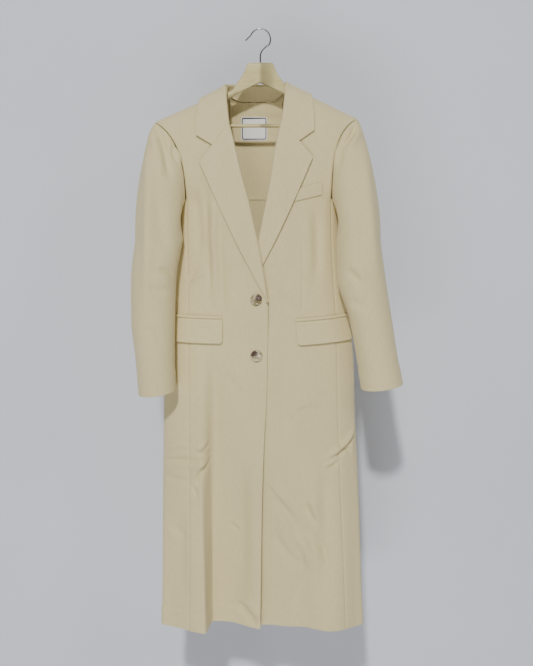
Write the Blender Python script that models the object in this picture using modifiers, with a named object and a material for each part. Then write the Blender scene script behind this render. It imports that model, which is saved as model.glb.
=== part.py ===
"""A long single-breasted coat that hangs, buttoned, on a wooden hanger.

Metres, +Z up.  The origin is the inside of the hook's crown, where the hanger hangs.
The coat faces -Y.  "right" and "left" are the wearer's: the right side is at -X.
Every cloth piece is a wall whose outer face is worked out by a surface function.
A surface function takes two numbers, across and along the piece, and gives a point.
"""

import math
from collections import namedtuple

import bpy
import bmesh
from mathutils import Matrix, Vector

# ---------------------------------------------------------------- driving sizes

COAT_SHIFT = -0.009            # the coat's middle lies this far from the hook
WALL = 0.0020                  # shell cloth with its lining
THIN_WALL = 0.0012             # facing, lining and label
SEAM = 0.0003                  # gap between two sewn pieces
CURVED_SEAM = 0.0006           # the same, where both pieces' edges are curved
LAID = 0.0008                  # gap under a piece that lies on a panel

HEM_Z = -1.285
CHEST_Z = -0.340               # level of the underarm
ROUNDNESS = 2.4                # exponent of the body's oval sections
SHOULDER_ROUNDNESS = 2.6       # exponent of the arch over the shoulder

NECK_HALF = 0.068              # middle of the neck to the neck end of the shoulder seam
SHOULDER_NECK_Z = -0.120       # shoulder seam's height at SHOULDER_NECK_X from the hook
SHOULDER_NECK_X = 0.0725
SHOULDER_SLOPE = 0.444
SHOULDER_SEAM_Y = -0.006       # the shoulder seam lies a little in front of the ridge
BACK_NECK_Y = 0.050
BACK_NECK_Z = -0.140
BACK_NECK_FLATNESS = 3.2       # how far out the neck seam keeps the height it has at the back

# the armhole's corners at the underarm, from there out to the shoulder's tip, and how late
# its edge turns out
Armhole = namedtuple("Armhole", "x reach curve")
ARMHOLES = {"right": Armhole(0.144, 0.061, 2.6), "left": Armhole(0.155, 0.051, 3.4)}
SHOULDER_SPREAD = 0.110        # how much wider the chest's oval gets up to the shoulder

ROLL_GAP = 0.0016              # inside radius of the lapel's and the collar's fold
ROLL = ROLL_GAP + WALL

BUTTON_RADIUS = 0.0123
BUTTON_HEIGHT = 0.0042
BUTTON_X = 0.0005
BUTTON_HEIGHTS = {"button_upper": -0.541, "button_lower": -0.661}

HOOK_WIRE = 0.0015             # radius of the hook's wire
HOOK_RADIUS = 0.0205           # radius of its bend, at the wire's middle
HOOK_ARC = (-33.0, 158.0)      # the bend runs between these angles, from +X towards +Z
BAR_RADIUS = 0.0038
BAR_HALF = 0.1755
BAR_Z = -0.190
BAR_FIT = 0.0003               # play of the bar's ends in the arms

COLLAR_BACK_Z = -0.180         # lower edge of the collar at the middle of the back
FACING_HALF = 0.056            # the inside facing and lining, as wide as the neck shows
LINING_END = 0.85              # how far down the body the lining is made
LABEL = (-0.032, 0.023, -0.2195, -0.171)
LOOP_X = -0.011
LOOP_RADIUS = 0.0075
LOOP_WIRE = 0.0008
BUTTON_HOLE_RADIUS = 0.0009
BUTTON_HOLE_PLACE = 0.0019

SIDES = {"right": -1, "left": 1}

# ---------------------------------------------------------------- tables, one row a section

Body = namedtuple("Body", "z half_right half_left front back widest seam_right seam_left")
BODY = [
    Body(-1.285, 0.214, 0.237, -0.032, 0.080, -0.010, 0.150, 0.197),
    Body(-1.130, 0.209, 0.230, -0.037, 0.078, -0.006, 0.147, 0.191),
    Body(-0.980, 0.207, 0.224, -0.042, 0.075, 0.000, 0.145, 0.183),
    Body(-0.830, 0.203, 0.215, -0.047, 0.071, 0.006, 0.144, 0.176),
    Body(-0.700, 0.198, 0.210, -0.050, 0.066, 0.011, 0.143, 0.172),
    Body(-0.580, 0.187, 0.198, -0.052, 0.060, 0.014, 0.142, 0.167),
    Body(-0.500, 0.174, 0.184, -0.054, 0.058, 0.017, 0.142, 0.161),
    Body(-0.420, 0.168, 0.177, -0.055, 0.058, 0.019, 0.143, 0.157),
    Body(-0.340, 0.159, 0.170, -0.055, 0.058, 0.018, 0.144, 0.155),
]

Edge = namedtuple("Edge", "z right left lap")
EDGE = [
    Edge(-1.285, 0.0070, -0.0330, 0.006),
    Edge(-1.000, 0.0110, -0.0310, 0.005),
    Edge(-0.870, 0.0150, -0.0300, 0.005),
    Edge(-0.720, 0.0220, -0.0280, 0.004),
    Edge(-0.640, 0.0230, -0.0270, 0.004),
    Edge(-0.555, 0.0240, -0.0240, 0.009),
    Edge(-0.510, 0.0185, -0.0150, 0.009),
    Edge(-0.470, 0.0120, -0.0060, 0.009),
    Edge(-0.425, 0.0040, 0.0040, 0.009),
    Edge(-0.385, -0.0050, 0.0120, 0.007),
    Edge(-0.340, -0.0145, 0.0210, 0.004),
]

LAP_START_X = -0.080           # the right front lifts over the left from here
LAP_WIDTH = 0.045
UNDERLAP_X = 0.020             # the left front keeps behind the right one up to here

# where the roll's fold shows; drop is 0 at the shoulder and 1 at the chest
Roll = namedtuple("Roll", "drop right left")
ROLL_LINE = [
    Roll(0.00, 0.0680, 0.0680),
    Roll(0.17, 0.0625, 0.0610),
    Roll(0.30, 0.0537, 0.0523),
    Roll(0.38, 0.0490, 0.0478),
    Roll(0.58, 0.0390, 0.0380),
    Roll(0.83, 0.0260, 0.0290),
    Roll(1.00, 0.0145, 0.0210),
]

Sleeve = namedtuple("Sleeve", "z outer inner middle_y half_depth tilt")
SLEEVES = {
    "right": [
        Sleeve(-0.736, 0.246, 0.169, -0.062, 0.040, -0.005),
        Sleeve(-0.660, 0.252, 0.170, -0.060, 0.042, -0.003),
        Sleeve(-0.580, 0.259, 0.168, -0.056, 0.044, 0.000),
        Sleeve(-0.500, 0.258, 0.165, -0.051, 0.046, 0.000),
        Sleeve(-0.420, 0.249, 0.150, -0.042, 0.048, 0.000),
    ],
    "left": [
        Sleeve(-0.723, 0.305, 0.220, -0.062, 0.040, 0.006),
        Sleeve(-0.660, 0.293, 0.209, -0.060, 0.042, 0.004),
        Sleeve(-0.580, 0.280, 0.193, -0.056, 0.044, 0.002),
        Sleeve(-0.500, 0.267, 0.168, -0.051, 0.046, 0.000),
        Sleeve(-0.420, 0.256, 0.165, -0.042, 0.048, 0.000),
    ],
}
SLEEVE_HEAD_Z = -0.420
ARMHOLE_FRONT_END = 0.36       # share of the armhole that is its front edge
SLEEVE_SEAMS = (0.42, 0.75)    # the under sleeve lies between these shares
SLEEVE_SEAM_SHARE = 0.0016     # half of the gap at the sleeve's seams, as a share of its girth
SLEEVE_EASE = 0.003            # room between the sleeve and the body under the arm
SLEEVE_BACK_EASE = 0.012       # the same behind the arm
LEAD_BEHIND = 0.5              # the armhole's back edge leads back this share of "ahead"
SLEEVE_TWIST = 0.09            # how far the front of the armhole turns on to the sleeve's inside

# how the sleeve leaves the armhole, from the shoulder's tip (0) to the underarm (0.5):
# its direction out, ahead and up, how far it keeps that, how straight it then hangs, and
# how far its edge stands off the armhole's
Lead = namedtuple("Lead", "share out ahead up reach hang proud")
LEADS = [
    Lead(0.00, 0.48, 0.00, -0.88, 0.036, 0.100, 0.0014),
    Lead(0.08, 0.50, 0.35, -0.75, 0.034, 0.085, 0.0010),
    Lead(0.20, 0.60, 0.60, -0.50, 0.030, 0.070, 0.0003),
    Lead(0.36, 0.25, 0.80, -0.30, 0.016, 0.040, 0.0000),
    Lead(0.43, 0.30, 0.30, 0.60, 0.012, 0.040, 0.0000),
    Lead(0.50, 0.37, 0.00, 0.93, 0.012, 0.040, 0.0000),
]

# soft vertical folds: depth is at the hem, + goes in, - stands out
Fold = namedtuple("Fold", "side face x_top x_hem width z_top depth")
FOLDS = [
    Fold("left", "front", 0.020, 0.022, 0.075, -0.700, 0.016),
    Fold("left", "front", 0.150, 0.168, 0.070, -0.600, -0.020),
    Fold("left", "front", 0.090, 0.094, 0.040, -0.800, 0.005),
    Fold("right", "back", 0.070, 0.080, 0.045, -0.520, -0.018),
    Fold("right", "back", 0.130, 0.145, 0.040, -0.600, 0.016),
    Fold("left", "back", 0.050, 0.060, 0.045, -0.560, -0.016),
    Fold("left", "back", 0.120, 0.130, 0.045, -0.480, 0.018),
    Fold("left", "back", 0.160, 0.185, 0.040, -0.700, -0.012),
]

# the deep fold of the right front: a ridge, a steep flank and a valley
FLANK_TOP_Z = -0.600
FLANK_X = -0.107
FLANK_WIDTH = 0.016
RIDGE_OUT = 0.030
RIDGE_WIDTH = 0.095
VALLEY_IN = 0.032
VALLEY_FLAT_X = -0.060
VALLEY_END_X = 0.012

Lapel = namedtuple("Lapel", "tip_x tip_z foot_x foot_z belly")
LAPELS = {
    "right": Lapel(-0.114, -0.262, 0.0215, -0.540, 0.004),
    "left": Lapel(0.114, -0.252, -0.0100, -0.514, 0.004),
}
LAPEL_LIFT = 0.003             # the lapel's edge stands off the front by this much more
GORGE_DROP = 0.315             # where the roll line meets the gorge seam
ROLL_FOOT_Z = -0.562           # the roll's fold runs out into the front edge here
ROLL_FOOT_RISE = 0.030
NOTCH_SHARE = 0.546            # the gorge seam's share of the lapel's top line
GORGE_GAP = 0.0011             # between the lapel's top line and the collar
COLLAR_TIP = {"right": (-0.119, -0.208), "left": (0.116, -0.199)}

RIDGE_X = 0.0600               # side of the collar's top fold
RIDGE_Z = {"right": -0.1065, "left": -0.1015}
RIDGE_BACK_Z = -0.1055
RIDGE_BACK_Y = 0.0430          # inner face of the collar at the middle of the back
RIDGE_SIDE_Y = 0.002
STAND_END = 0.86               # the collar's stand runs out this far round the neck
COLLAR_SIDE_X = 0.110
COLLAR_HANG = 2.2              # how straight the collar's fold drops before it turns to the roll
COLLAR_LIFT = 0.0080
COLLAR_TURN = 0.25             # share of the fall that is its fold

Flap = namedtuple("Flap", "side x_in x_out z_in z_out z_foot_in z_foot_out corner lean")
FLAPS = {
    "pocket_flap_right": Flap("right", 0.070, 0.183, -0.5845, -0.5845, -0.634, -0.634, 0.007, 0.000),
    "pocket_flap_left": Flap("left", 0.081, 0.192, -0.5905, -0.5845, -0.638, -0.632, 0.006, 0.007),
}
LIPS = {
    "pocket_lip_right": Flap("right", 0.070, 0.183, -0.5770, -0.5770, -0.584, -0.584, 0.0, 0.0),
    "pocket_lip_left": Flap("left", 0.080, 0.191, -0.5830, -0.5775, -0.590, -0.584, 0.0, 0.0),
}
WELT = Flap("left", 0.080, 0.134, -0.3165, -0.3030, -0.3395, -0.3265, 0.0, 0.0)

Arm = namedtuple("Arm", "x top foot half_depth")
HANGER = [                     # wooden hanger, one row a section, from the hook outwards
    Arm(0.0000, -0.0650, -0.1050, 0.0095),
    Arm(0.0130, -0.0651, -0.1100, 0.0082),
    Arm(0.0255, -0.0655, -0.1158, 0.0070),
    Arm(0.0272, -0.0690, -0.1166, 0.0070),
    Arm(0.0310, -0.0795, -0.1185, 0.0071),
    Arm(0.0375, -0.0910, -0.1218, 0.0072),
    Arm(0.0455, -0.1010, -0.1258, 0.0073),
    Arm(0.0510, -0.1110, -0.1284, 0.0074),
    Arm(0.0570, -0.1185, -0.1330, 0.0078),
    Arm(0.0660, -0.1224, -0.1380, 0.0085),
    Arm(0.0760, -0.1258, -0.1430, 0.0092),
    Arm(0.0950, -0.1332, -0.1520, 0.0105),
    Arm(0.1250, -0.1465, -0.1680, 0.0135),
    Arm(0.1500, -0.1576, -0.1860, 0.0165),
    Arm(0.1640, -0.1638, -0.2060, 0.0180),
    Arm(0.1730, -0.1680, -0.2160, 0.0180),
    Arm(0.1820, -0.1730, -0.2160, 0.0165),
    Arm(0.1870, -0.1800, -0.2090, 0.0110),
]

HookPoint = namedtuple("HookPoint", "x z")
HOOK_STEM = [HookPoint(0.0000, -0.0647), HookPoint(0.0000, -0.0500), HookPoint(0.0015, -0.0445),
             HookPoint(0.0060, -0.0385), HookPoint(0.0120, -0.0330)]
HOOK_TIP = HookPoint(-0.0300, -0.0215)

COLOURS = {
    "coat_cloth": ((0.545, 0.478, 0.352), 0.85, 0.0),
    "lining": ((0.560, 0.490, 0.362), 0.60, 0.0),
    "label_cloth": ((0.780, 0.770, 0.730), 0.80, 0.0),
    "hanger_wood": ((0.600, 0.480, 0.290), 0.50, 0.0),
    "hanger_metal": ((0.620, 0.600, 0.560), 0.25, 1.0),
    "button_horn": ((0.560, 0.480, 0.360), 0.30, 0.0),
}

# ---------------------------------------------------------------- small tools


def clamp(value, low=0.0, high=1.0):
    return max(low, min(high, value))


def mix(a, b, share):
    return a + (b - a) * share


def ease(share):
    share = clamp(share)
    return share * share * (3.0 - 2.0 * share)


def spread(start, end, count):
    return [mix(start, end, i / count) for i in range(count + 1)]


def track(rows, key, column):
    """A smooth curve through one column of a table, as a function of its key column."""
    points = sorted((getattr(row, key), getattr(row, column)) for row in rows)
    keys = [point[0] for point in points]
    values = [point[1] for point in points]
    rises = [(values[i + 1] - values[i]) / (keys[i + 1] - keys[i]) for i in range(len(keys) - 1)]
    slopes = [rises[0]]
    for before, after in zip(rises, rises[1:]):
        same_way = before * after > 0.0
        slopes.append(2.0 * before * after / (before + after) if same_way else 0.0)
    slopes.append(rises[-1])

    def value(at):
        at = clamp(at, keys[0], keys[-1])
        i = 0
        while i < len(keys) - 2 and at > keys[i + 1]:
            i += 1
        step = keys[i + 1] - keys[i]
        t = (at - keys[i]) / step
        start = (1 + 2 * t) * (1 - t) ** 2 * values[i] + t * (1 - t) ** 2 * step * slopes[i]
        end = t * t * (3 - 2 * t) * values[i + 1] + t * t * (t - 1) * step * slopes[i + 1]
        return start + end

    return value


BODY_TRACKS = {name: track(BODY, "z", name) for name in Body._fields if name != "z"}
EDGE_TRACKS = {name: track(EDGE, "z", name) for name in Edge._fields if name != "z"}
ROLL_TRACKS = {name: track(ROLL_LINE, "drop", name) for name in ("right", "left")}
SLEEVE_TRACKS = {
    side: {name: track(rows, "z", name) for name in Sleeve._fields if name != "z"}
    for side, rows in SLEEVES.items()
}
LEAD_TRACKS = {name: track(LEADS, "share", name) for name in Lead._fields if name != "share"}

# ---------------------------------------------------------------- the body's surface


def shoulder_z(x):
    """Height of the shoulder seam, which slopes evenly away from the hook."""
    return SHOULDER_NECK_Z - SHOULDER_SLOPE * (abs(x + COAT_SHIFT) - SHOULDER_NECK_X)


def drop_share(along):
    """0 at the shoulder seam and 1 at the chest, for along from 2 down to 1."""
    return 1.0 - math.sin(math.radians(90.0 * clamp(along - 1.0))) ** (2.0 / SHOULDER_ROUNDNESS)


def arch_share(drop):
    """How far the shoulder's arch has reached the chest's plane."""
    return (1.0 - (1.0 - clamp(drop)) ** SHOULDER_ROUNDNESS) ** (1.0 / SHOULDER_ROUNDNESS)


def half_width(side, z, drop=1.0):
    half = BODY_TRACKS["half_" + side](max(HEM_Z, min(z, CHEST_Z)))
    return half + SHOULDER_SPREAD * (1.0 - drop) ** 0.8


def fold_depth(side, face, x, z):
    """Soft folds on one face; x is the distance from the coat's middle to that side."""
    depth = 0.0
    for fold in FOLDS:
        if fold.side == side and fold.face == face:
            down = ease((fold.z_top - z) / (fold.z_top - HEM_Z))
            middle = mix(fold.x_top, fold.x_hem, down)
            away = clamp(abs(x - middle) / fold.width)
            depth += fold.depth * down * math.cos(0.5 * math.pi * away) ** 2
    return depth


def deep_fold(x, z):
    """The right front's deep fold; x is signed."""
    down = ease((FLANK_TOP_Z - z) / (FLANK_TOP_Z - HEM_Z))
    width = mix(2.5 * FLANK_WIDTH, FLANK_WIDTH, down)
    past_flank = ease((x - FLANK_X) / width + 0.5)
    ridge = 1.0 - ease((FLANK_X - x) / RIDGE_WIDTH)
    valley = 1.0 - ease((x - VALLEY_FLAT_X) / (VALLEY_END_X - VALLEY_FLAT_X))
    return down * (VALLEY_IN * valley * past_flank - RIDGE_OUT * ridge * (1.0 - past_flank))


def plane_y(side, face, x, z, drop=1.0):
    """Depth of the front or the back at x, before the shoulder's arch; x is signed."""
    sign = SIDES[side]
    widest = BODY_TRACKS["widest"](max(HEM_Z, min(z, CHEST_Z)))
    flat = BODY_TRACKS[face](max(HEM_Z, min(z, CHEST_Z)))
    share = clamp(abs(x) / half_width(side, z, drop), 0.0, 0.9999)
    y = widest + (flat - widest) * (1.0 - share ** ROUNDNESS) ** (1.0 / ROUNDNESS)
    turn = ease((1.0 - share) / 0.12)
    folds = fold_depth(side, face, sign * x, z)
    if face == "front":
        if side == "right":
            folds += deep_fold(x, z)
            folds -= EDGE_TRACKS["lap"](z) * ease((x - LAP_START_X) / LAP_WIDTH)
            return y + folds * turn
        y += folds * turn
        if x < UNDERLAP_X:
            y = max(y, plane_y("right", "front", x, z, drop) + WALL + LAID)
        return y
    return y - folds * turn


def front_y(side, x, z):
    """Depth of the front at a place, with the shoulder's arch."""
    if z <= CHEST_Z:
        return plane_y(side, "front", x, z)
    top = shoulder_z(x)
    drop = clamp((top - z) / (top - CHEST_Z))
    plane = plane_y(side, "front", x, z, drop)
    return SHOULDER_SEAM_Y + (plane - SHOULDER_SEAM_Y) * arch_share(drop)


def front_point(side, x, along):
    """along: 0 at the hem, 1 at the chest, 2 at the shoulder seam."""
    if along <= 1.0:
        z = mix(HEM_Z, CHEST_Z, along)
        return Vector((x + COAT_SHIFT, plane_y(side, "front", x, z), z))
    drop = drop_share(along)
    z = mix(shoulder_z(x), CHEST_Z, drop)
    plane = plane_y(side, "front", x, z, drop)
    y = SHOULDER_SEAM_Y + (plane - SHOULDER_SEAM_Y) * arch_share(drop)
    return Vector((x + COAT_SHIFT, y, z))


def back_top(x):
    """Where the back ends: the back of the neck, and the shoulder seam beside it."""
    neck = clamp(abs(x) / NECK_HALF)
    y = mix(SHOULDER_SEAM_Y, BACK_NECK_Y, (1.0 - neck ** 2.2) ** (1.0 / 2.2))
    z = mix(shoulder_z(math.copysign(max(abs(x), NECK_HALF), x)), BACK_NECK_Z,
            ease(1.0 - neck ** BACK_NECK_FLATNESS))
    return y + SEAM, z


def back_y(side, x, z):
    """Depth of the back at a place, with the shoulder's arch."""
    if z <= CHEST_Z:
        return plane_y(side, "back", x, z)
    top_y, top_z = back_top(x)
    drop = clamp((top_z - z) / (top_z - CHEST_Z))
    return mix(top_y, plane_y(side, "back", x, z, drop), arch_share(drop))


def back_point(side, x, along):
    if along <= 1.0:
        z = mix(HEM_Z, CHEST_Z, along)
        return Vector((x + COAT_SHIFT, plane_y(side, "back", x, z), z))
    drop = drop_share(along)
    top_y, top_z = back_top(x)
    z = mix(top_z, CHEST_Z, drop)
    plane = plane_y(side, "back", x, z, drop)
    return Vector((x + COAT_SHIFT, mix(top_y, plane, arch_share(drop)), z))


def outer_x(side, along):
    """Side seam of the front or back up to the chest, and then the armhole's edge."""
    sign = SIDES[side]
    if along <= 1.0:
        return sign * BODY_TRACKS["seam_" + side](mix(HEM_Z, CHEST_Z, along))
    rise = 1.0 - drop_share(along)
    armhole = ARMHOLES[side]
    return sign * (armhole.x + armhole.reach * rise ** armhole.curve)


def inner_x(side, along):
    """Front edge, then the roll line, then the neck, up to the shoulder seam."""
    if along <= 1.0:
        z = mix(HEM_Z, CHEST_Z, along)
        fold = ROLL * ease((z - ROLL_FOOT_Z) / ROLL_FOOT_RISE)
        return EDGE_TRACKS[side](z) + SIDES[side] * fold
    drop = drop_share(along)
    return SIDES[side] * (ROLL_TRACKS[side](drop) + ROLL * ease(drop / GORGE_DROP))


def front_surface(side):
    def point(across, along):
        edge = inner_x(side, along)
        seam = outer_x(side, along) - SIDES[side] * SEAM / 2
        return front_point(side, mix(edge, seam, across), along)
    return point


def section_angle(side, x, z):
    share = clamp(abs(x) / half_width(side, z), 0.0, 0.9999)
    return math.degrees(math.asin(share ** (ROUNDNESS / 2.0)))


def side_surface(side):
    """Round the body's side, from the front's seam to the back's."""
    def point(across, along):
        z = mix(HEM_Z, CHEST_Z, along)
        seam = abs(outer_x(side, along)) + SEAM / 2
        start = section_angle(side, seam, z)
        angle = mix(start, 180.0 - start, across)
        shape = math.sin(math.radians(angle)) ** (2.0 / ROUNDNESS)
        x = SIDES[side] * half_width(side, z) * shape
        face = "front" if angle < 90.0 else "back"
        return Vector((x + COAT_SHIFT, plane_y(side, face, x, z), z))
    return point


def back_surface(side):
    def point(across, along):
        seam = outer_x(side, along) - SIDES[side] * SEAM / 2
        middle = SIDES[side] * SEAM / 2
        return back_point(side, mix(seam, middle, across), along)
    return point

# ---------------------------------------------------------------- sleeves


def bezier(start, lead, pull, end, share):
    rest = 1.0 - share
    return (start * rest ** 3 + lead * 3 * rest * rest * share
            + pull * 3 * rest * share * share + end * share ** 3)


def armhole_point(side, around):
    """The armhole's loop: shoulder tip, front edge, underarm, back edge."""
    first = ARMHOLE_FRONT_END
    if around <= first:
        along = 2.0 - around / first
        return front_point(side, outer_x(side, along), along)
    if around < 1.0 - first:
        return side_surface(side)((around - first) / (1.0 - 2.0 * first), 1.0)
    along = 1.0 + (around - (1.0 - first)) / first
    return back_point(side, outer_x(side, along), along)


def armhole_lead(side, around):
    """The way the cloth runs on over the armhole's edge."""
    from_tip = min(around, 1.0 - around)
    ahead = LEAD_TRACKS["ahead"](from_tip) * (-1.0 if around < 0.5 else LEAD_BEHIND)
    out = SIDES[side] * LEAD_TRACKS["out"](from_tip)
    return Vector((out, ahead, LEAD_TRACKS["up"](from_tip))).normalized()


def sleeve_ring(side, around, z):
    tracks = SLEEVE_TRACKS[side]
    outer = tracks["outer"](z)
    inner = tracks["inner"](z)
    if around < 0.5:
        around += SLEEVE_TWIST * math.sin(2.0 * math.pi * around)
    turn = 2.0 * math.pi * around
    out = math.cos(turn)
    half = (outer - inner) / 2.0
    x = SIDES[side] * ((outer + inner) / 2.0 + half * out)
    y = tracks["middle_y"](z) - tracks["half_depth"](z) * math.sin(turn)
    return Vector((x + COAT_SHIFT, y, z + tracks["tilt"](z) * out))


def sleeve_surface(side, first, last):
    """Two parts: down from the armhole to the head's ring, and from there to the cuff."""
    cuff_z = SLEEVES[side][0].z

    def point(across, along):
        around = mix(first, last, across) % 1.0
        if along > 1.0:
            return sleeve_ring(side, around, mix(SLEEVE_HEAD_Z, cuff_z, along - 1.0))
        from_tip = min(around, 1.0 - around)
        lead = armhole_lead(side, around)
        start = armhole_point(side, around) + lead * CURVED_SEAM
        start.x += SIDES[side] * LEAD_TRACKS["proud"](from_tip)
        end = sleeve_ring(side, around, SLEEVE_HEAD_Z)
        reach = LEAD_TRACKS["reach"](from_tip)
        room = SLEEVE_EASE * ease(2.0 * from_tip)
        room += SLEEVE_BACK_EASE * math.sin(math.pi * clamp(2.0 * (around - SLEEVE_SEAMS[0]))) ** 2
        pull = Vector((SIDES[side] * room, 0.0, LEAD_TRACKS["hang"](from_tip)))
        return bezier(start, start + lead * reach, end + pull, end, along)
    return point

# ---------------------------------------------------------------- lapels and collar


def roll_point(side, share):
    """Along the front's roll edge: 0 at the lapel's foot, 1 where the gorge seam starts."""
    foot = LAPELS[side].foot_z - 0.006
    gorge = mix(shoulder_z(SIDES[side] * 0.055), CHEST_Z, GORGE_DROP)
    z = mix(foot, gorge, share)
    if z <= CHEST_Z:
        return inner_x(side, (z - HEM_Z) / (CHEST_Z - HEM_Z)), z
    x = 0.0
    for _ in range(5):
        top = shoulder_z(x)
        x = inner_x(side, along_of((top - z) / (top - CHEST_Z)))
    return x, z


def lapel_y(side, x, z, share, along):
    """Depth of the lapel's flat; share is 0 at the fold and 1 at the edge."""
    lift = LAPEL_LIFT * share ** 2 * ease(4.0 * along - 0.6)
    return front_y(side, x, z) - ROLL - ROLL_GAP - lift


def lapel_surface(side):
    """A fold round the front's roll edge, and then the lapel's flat."""
    lapel = LAPELS[side]
    sign = SIDES[side]

    def point(across, along):
        roll_x, roll_z = roll_point(side, along)
        roll_x -= sign * CURVED_SEAM
        if across < COLLAR_TURN:
            angle = math.pi * across / COLLAR_TURN
            base = front_y(side, roll_x, roll_z) - ROLL_GAP
            x = roll_x - sign * ROLL * math.sin(angle)
            return Vector((x + COAT_SHIFT, base + ROLL * math.cos(angle), roll_z))
        share = (across - COLLAR_TURN) / (1.0 - COLLAR_TURN)
        belly = lapel.belly * math.sin(math.pi * along)
        edge_x = mix(lapel.foot_x, lapel.tip_x, along) + sign * belly
        edge_z = mix(lapel.foot_z, lapel.tip_z, along)
        x = mix(roll_x, edge_x, share)
        z = mix(roll_z, edge_z, share)
        return Vector((x + COAT_SHIFT, lapel_y(side, x, z, share, along), z))
    return point


def collar_frame(around):
    """The neck seam, the fold's centre and its two directions at a place round the collar.

    around: -1 at the right gorge, -0.5 at the right shoulder, 0 at the back, 1 at the left gorge.
    The first direction points from the fold's centre to the stand, the second to the ridge.
    """
    side = "right" if around < 0.0 else "left"
    sign = SIDES[side]
    away = abs(around)
    side_x = sign * (RIDGE_X + ROLL)
    side_z = RIDGE_Z[side] - ROLL
    if away <= 0.5:
        turn = math.pi * around
        x = NECK_HALF * math.sin(turn)
        y, z = back_top(x)
        neck = Vector((x + COAT_SHIFT, y, z))
        inwards = Vector((-math.sin(turn), -math.cos(turn), 0.0))
        centre_y = mix(RIDGE_SIDE_Y, RIDGE_BACK_Y + ROLL, math.cos(turn))
        centre_z = mix(side_z, RIDGE_BACK_Z - ROLL, ease(math.cos(turn)))
        centre = Vector((abs(side_x) * math.sin(turn) + COAT_SHIFT, centre_y, centre_z))
        return neck, centre, inwards, Vector((0.0, 0.0, 1.0))
    front = (away - 0.5) / 0.5
    along = along_of(GORGE_DROP * front ** 1.5)
    neck = front_point(side, inner_x(side, along), along)
    end_x, end_z = roll_point(side, 1.0)
    end_x -= sign * CURVED_SEAM
    end_z += GORGE_GAP
    end_y = front_y(side, end_x, end_z) - ROLL_GAP
    turn = 0.5 * math.pi * front
    x = mix(side_x, end_x, front ** COLLAR_HANG)
    y = mix(RIDGE_SIDE_Y, end_y, math.sin(turn))
    z = mix(side_z, end_z, 1.0 - math.cos(turn))
    slope = math.atan2((side_z - end_z) * math.sin(turn), (RIDGE_SIDE_Y - end_y) * math.cos(turn))
    inwards = Vector((-sign, 0.0, 0.0))
    outwards = Vector((0.0, -math.sin(slope), math.cos(slope)))
    tip = 0.5 * math.pi * ease(front)
    to_stand = inwards * math.cos(tip) - outwards * math.sin(tip)
    to_ridge = outwards * math.cos(tip) + inwards * math.sin(tip)
    return neck, Vector((x + COAT_SHIFT, y, z)), to_stand, to_ridge


def along_of(drop):
    """The place between chest and shoulder seam that has this share of the drop."""
    rise = (1.0 - clamp(drop, 0.0005, 1.0)) ** (SHOULDER_ROUNDNESS / 2.0)
    return 1.0 + math.degrees(math.asin(rise)) / 90.0


def lifted(side, face, x, along, lift):
    """A point held off the front or the back by a lift."""
    place = front_point if face == "front" else back_point
    step = 0.002
    here = place(side, x, along)
    across = place(side, x + step, along) - here
    up = here - place(side, x, along - 0.02)
    normal = across.cross(up).normalized()
    if face == "back":
        normal.negate()
    return here + normal * lift


def collar_edge(around):
    """Outer edge of the collar's fall."""
    side = "right" if around < 0.0 else "left"
    sign = SIDES[side]
    away = abs(around)
    if away <= 0.5:
        turn = math.pi * away
        x = sign * COLLAR_SIDE_X * math.sin(turn) ** 0.8
        z = mix(shoulder_z(sign * COLLAR_SIDE_X), COLLAR_BACK_Z, math.cos(turn) ** 0.6)
        top_z = back_top(x)[1]
        return lifted(side, "back", x, along_of((top_z - z) / (top_z - CHEST_Z)), COLLAR_LIFT)
    front = (away - 0.5) / 0.5
    tip_x, tip_z = COLLAR_TIP[side]
    top = shoulder_z(tip_x)
    tip_along = along_of((top - tip_z) / (top - CHEST_Z))
    x = mix(sign * COLLAR_SIDE_X, tip_x, ease(front))
    return lifted(side, "front", x, mix(along_of(0.0), tip_along, front), COLLAR_LIFT)


def notch_point(side):
    """The inner corner of the notch, on the lapel's top line."""
    roll_x, roll_z = roll_point(side, 1.0)
    lapel = LAPELS[side]
    x = mix(roll_x, lapel.tip_x, NOTCH_SHARE)
    z = mix(roll_z, lapel.tip_z, NOTCH_SHARE) + GORGE_GAP
    return Vector((x + COAT_SHIFT, lapel_y(side, x, z, NOTCH_SHARE, 1.0), z))


def collar_fall(across, along):
    """across: from the stand's top over the fold to the outer edge; along: right to left."""
    side = "right" if along < 0.0 else "left"
    centre, to_stand, to_ridge = collar_frame(along)[1:]
    if across < COLLAR_TURN:
        angle = math.pi * across / COLLAR_TURN
        return centre + (to_stand * math.cos(angle) + to_ridge * math.sin(angle)) * ROLL
    share = (across - COLLAR_TURN) / (1.0 - COLLAR_TURN)
    start = centre - to_stand * ROLL
    edge = collar_edge(along)
    front = clamp((abs(along) - 0.5) / 0.5)
    middle = (start + edge) / 2.0
    middle = middle.lerp(notch_point(side), ease((front - 0.55) / 0.45))
    point = start.lerp(middle, share * 2.0) if share < 0.5 else middle.lerp(edge, share * 2.0 - 1.0)
    x = point.x - COAT_SHIFT
    if front > 0.0 and point.z < shoulder_z(x):
        point.y = min(point.y, front_y(side, x, point.z) - ROLL - ROLL_GAP)
    elif front == 0.0 and point.z < back_top(x)[1]:
        point.y = max(point.y, back_y(side, x, point.z) + ROLL + ROLL_GAP)
    return point


def collar_stand(across, along):
    """across: from the neck seam up to the fold; the face that shows is the inner one."""
    neck, centre, to_stand, to_ridge = collar_frame(along)
    foot = neck + to_stand * (WALL + CURVED_SEAM) + to_ridge * SEAM
    head = centre + to_stand * ROLL - to_ridge * SEAM
    reach = to_ridge * (head - foot).length / 3.0
    return bezier(foot, foot + reach, head - reach, head, across)

# ---------------------------------------------------------------- pockets and inside


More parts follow.
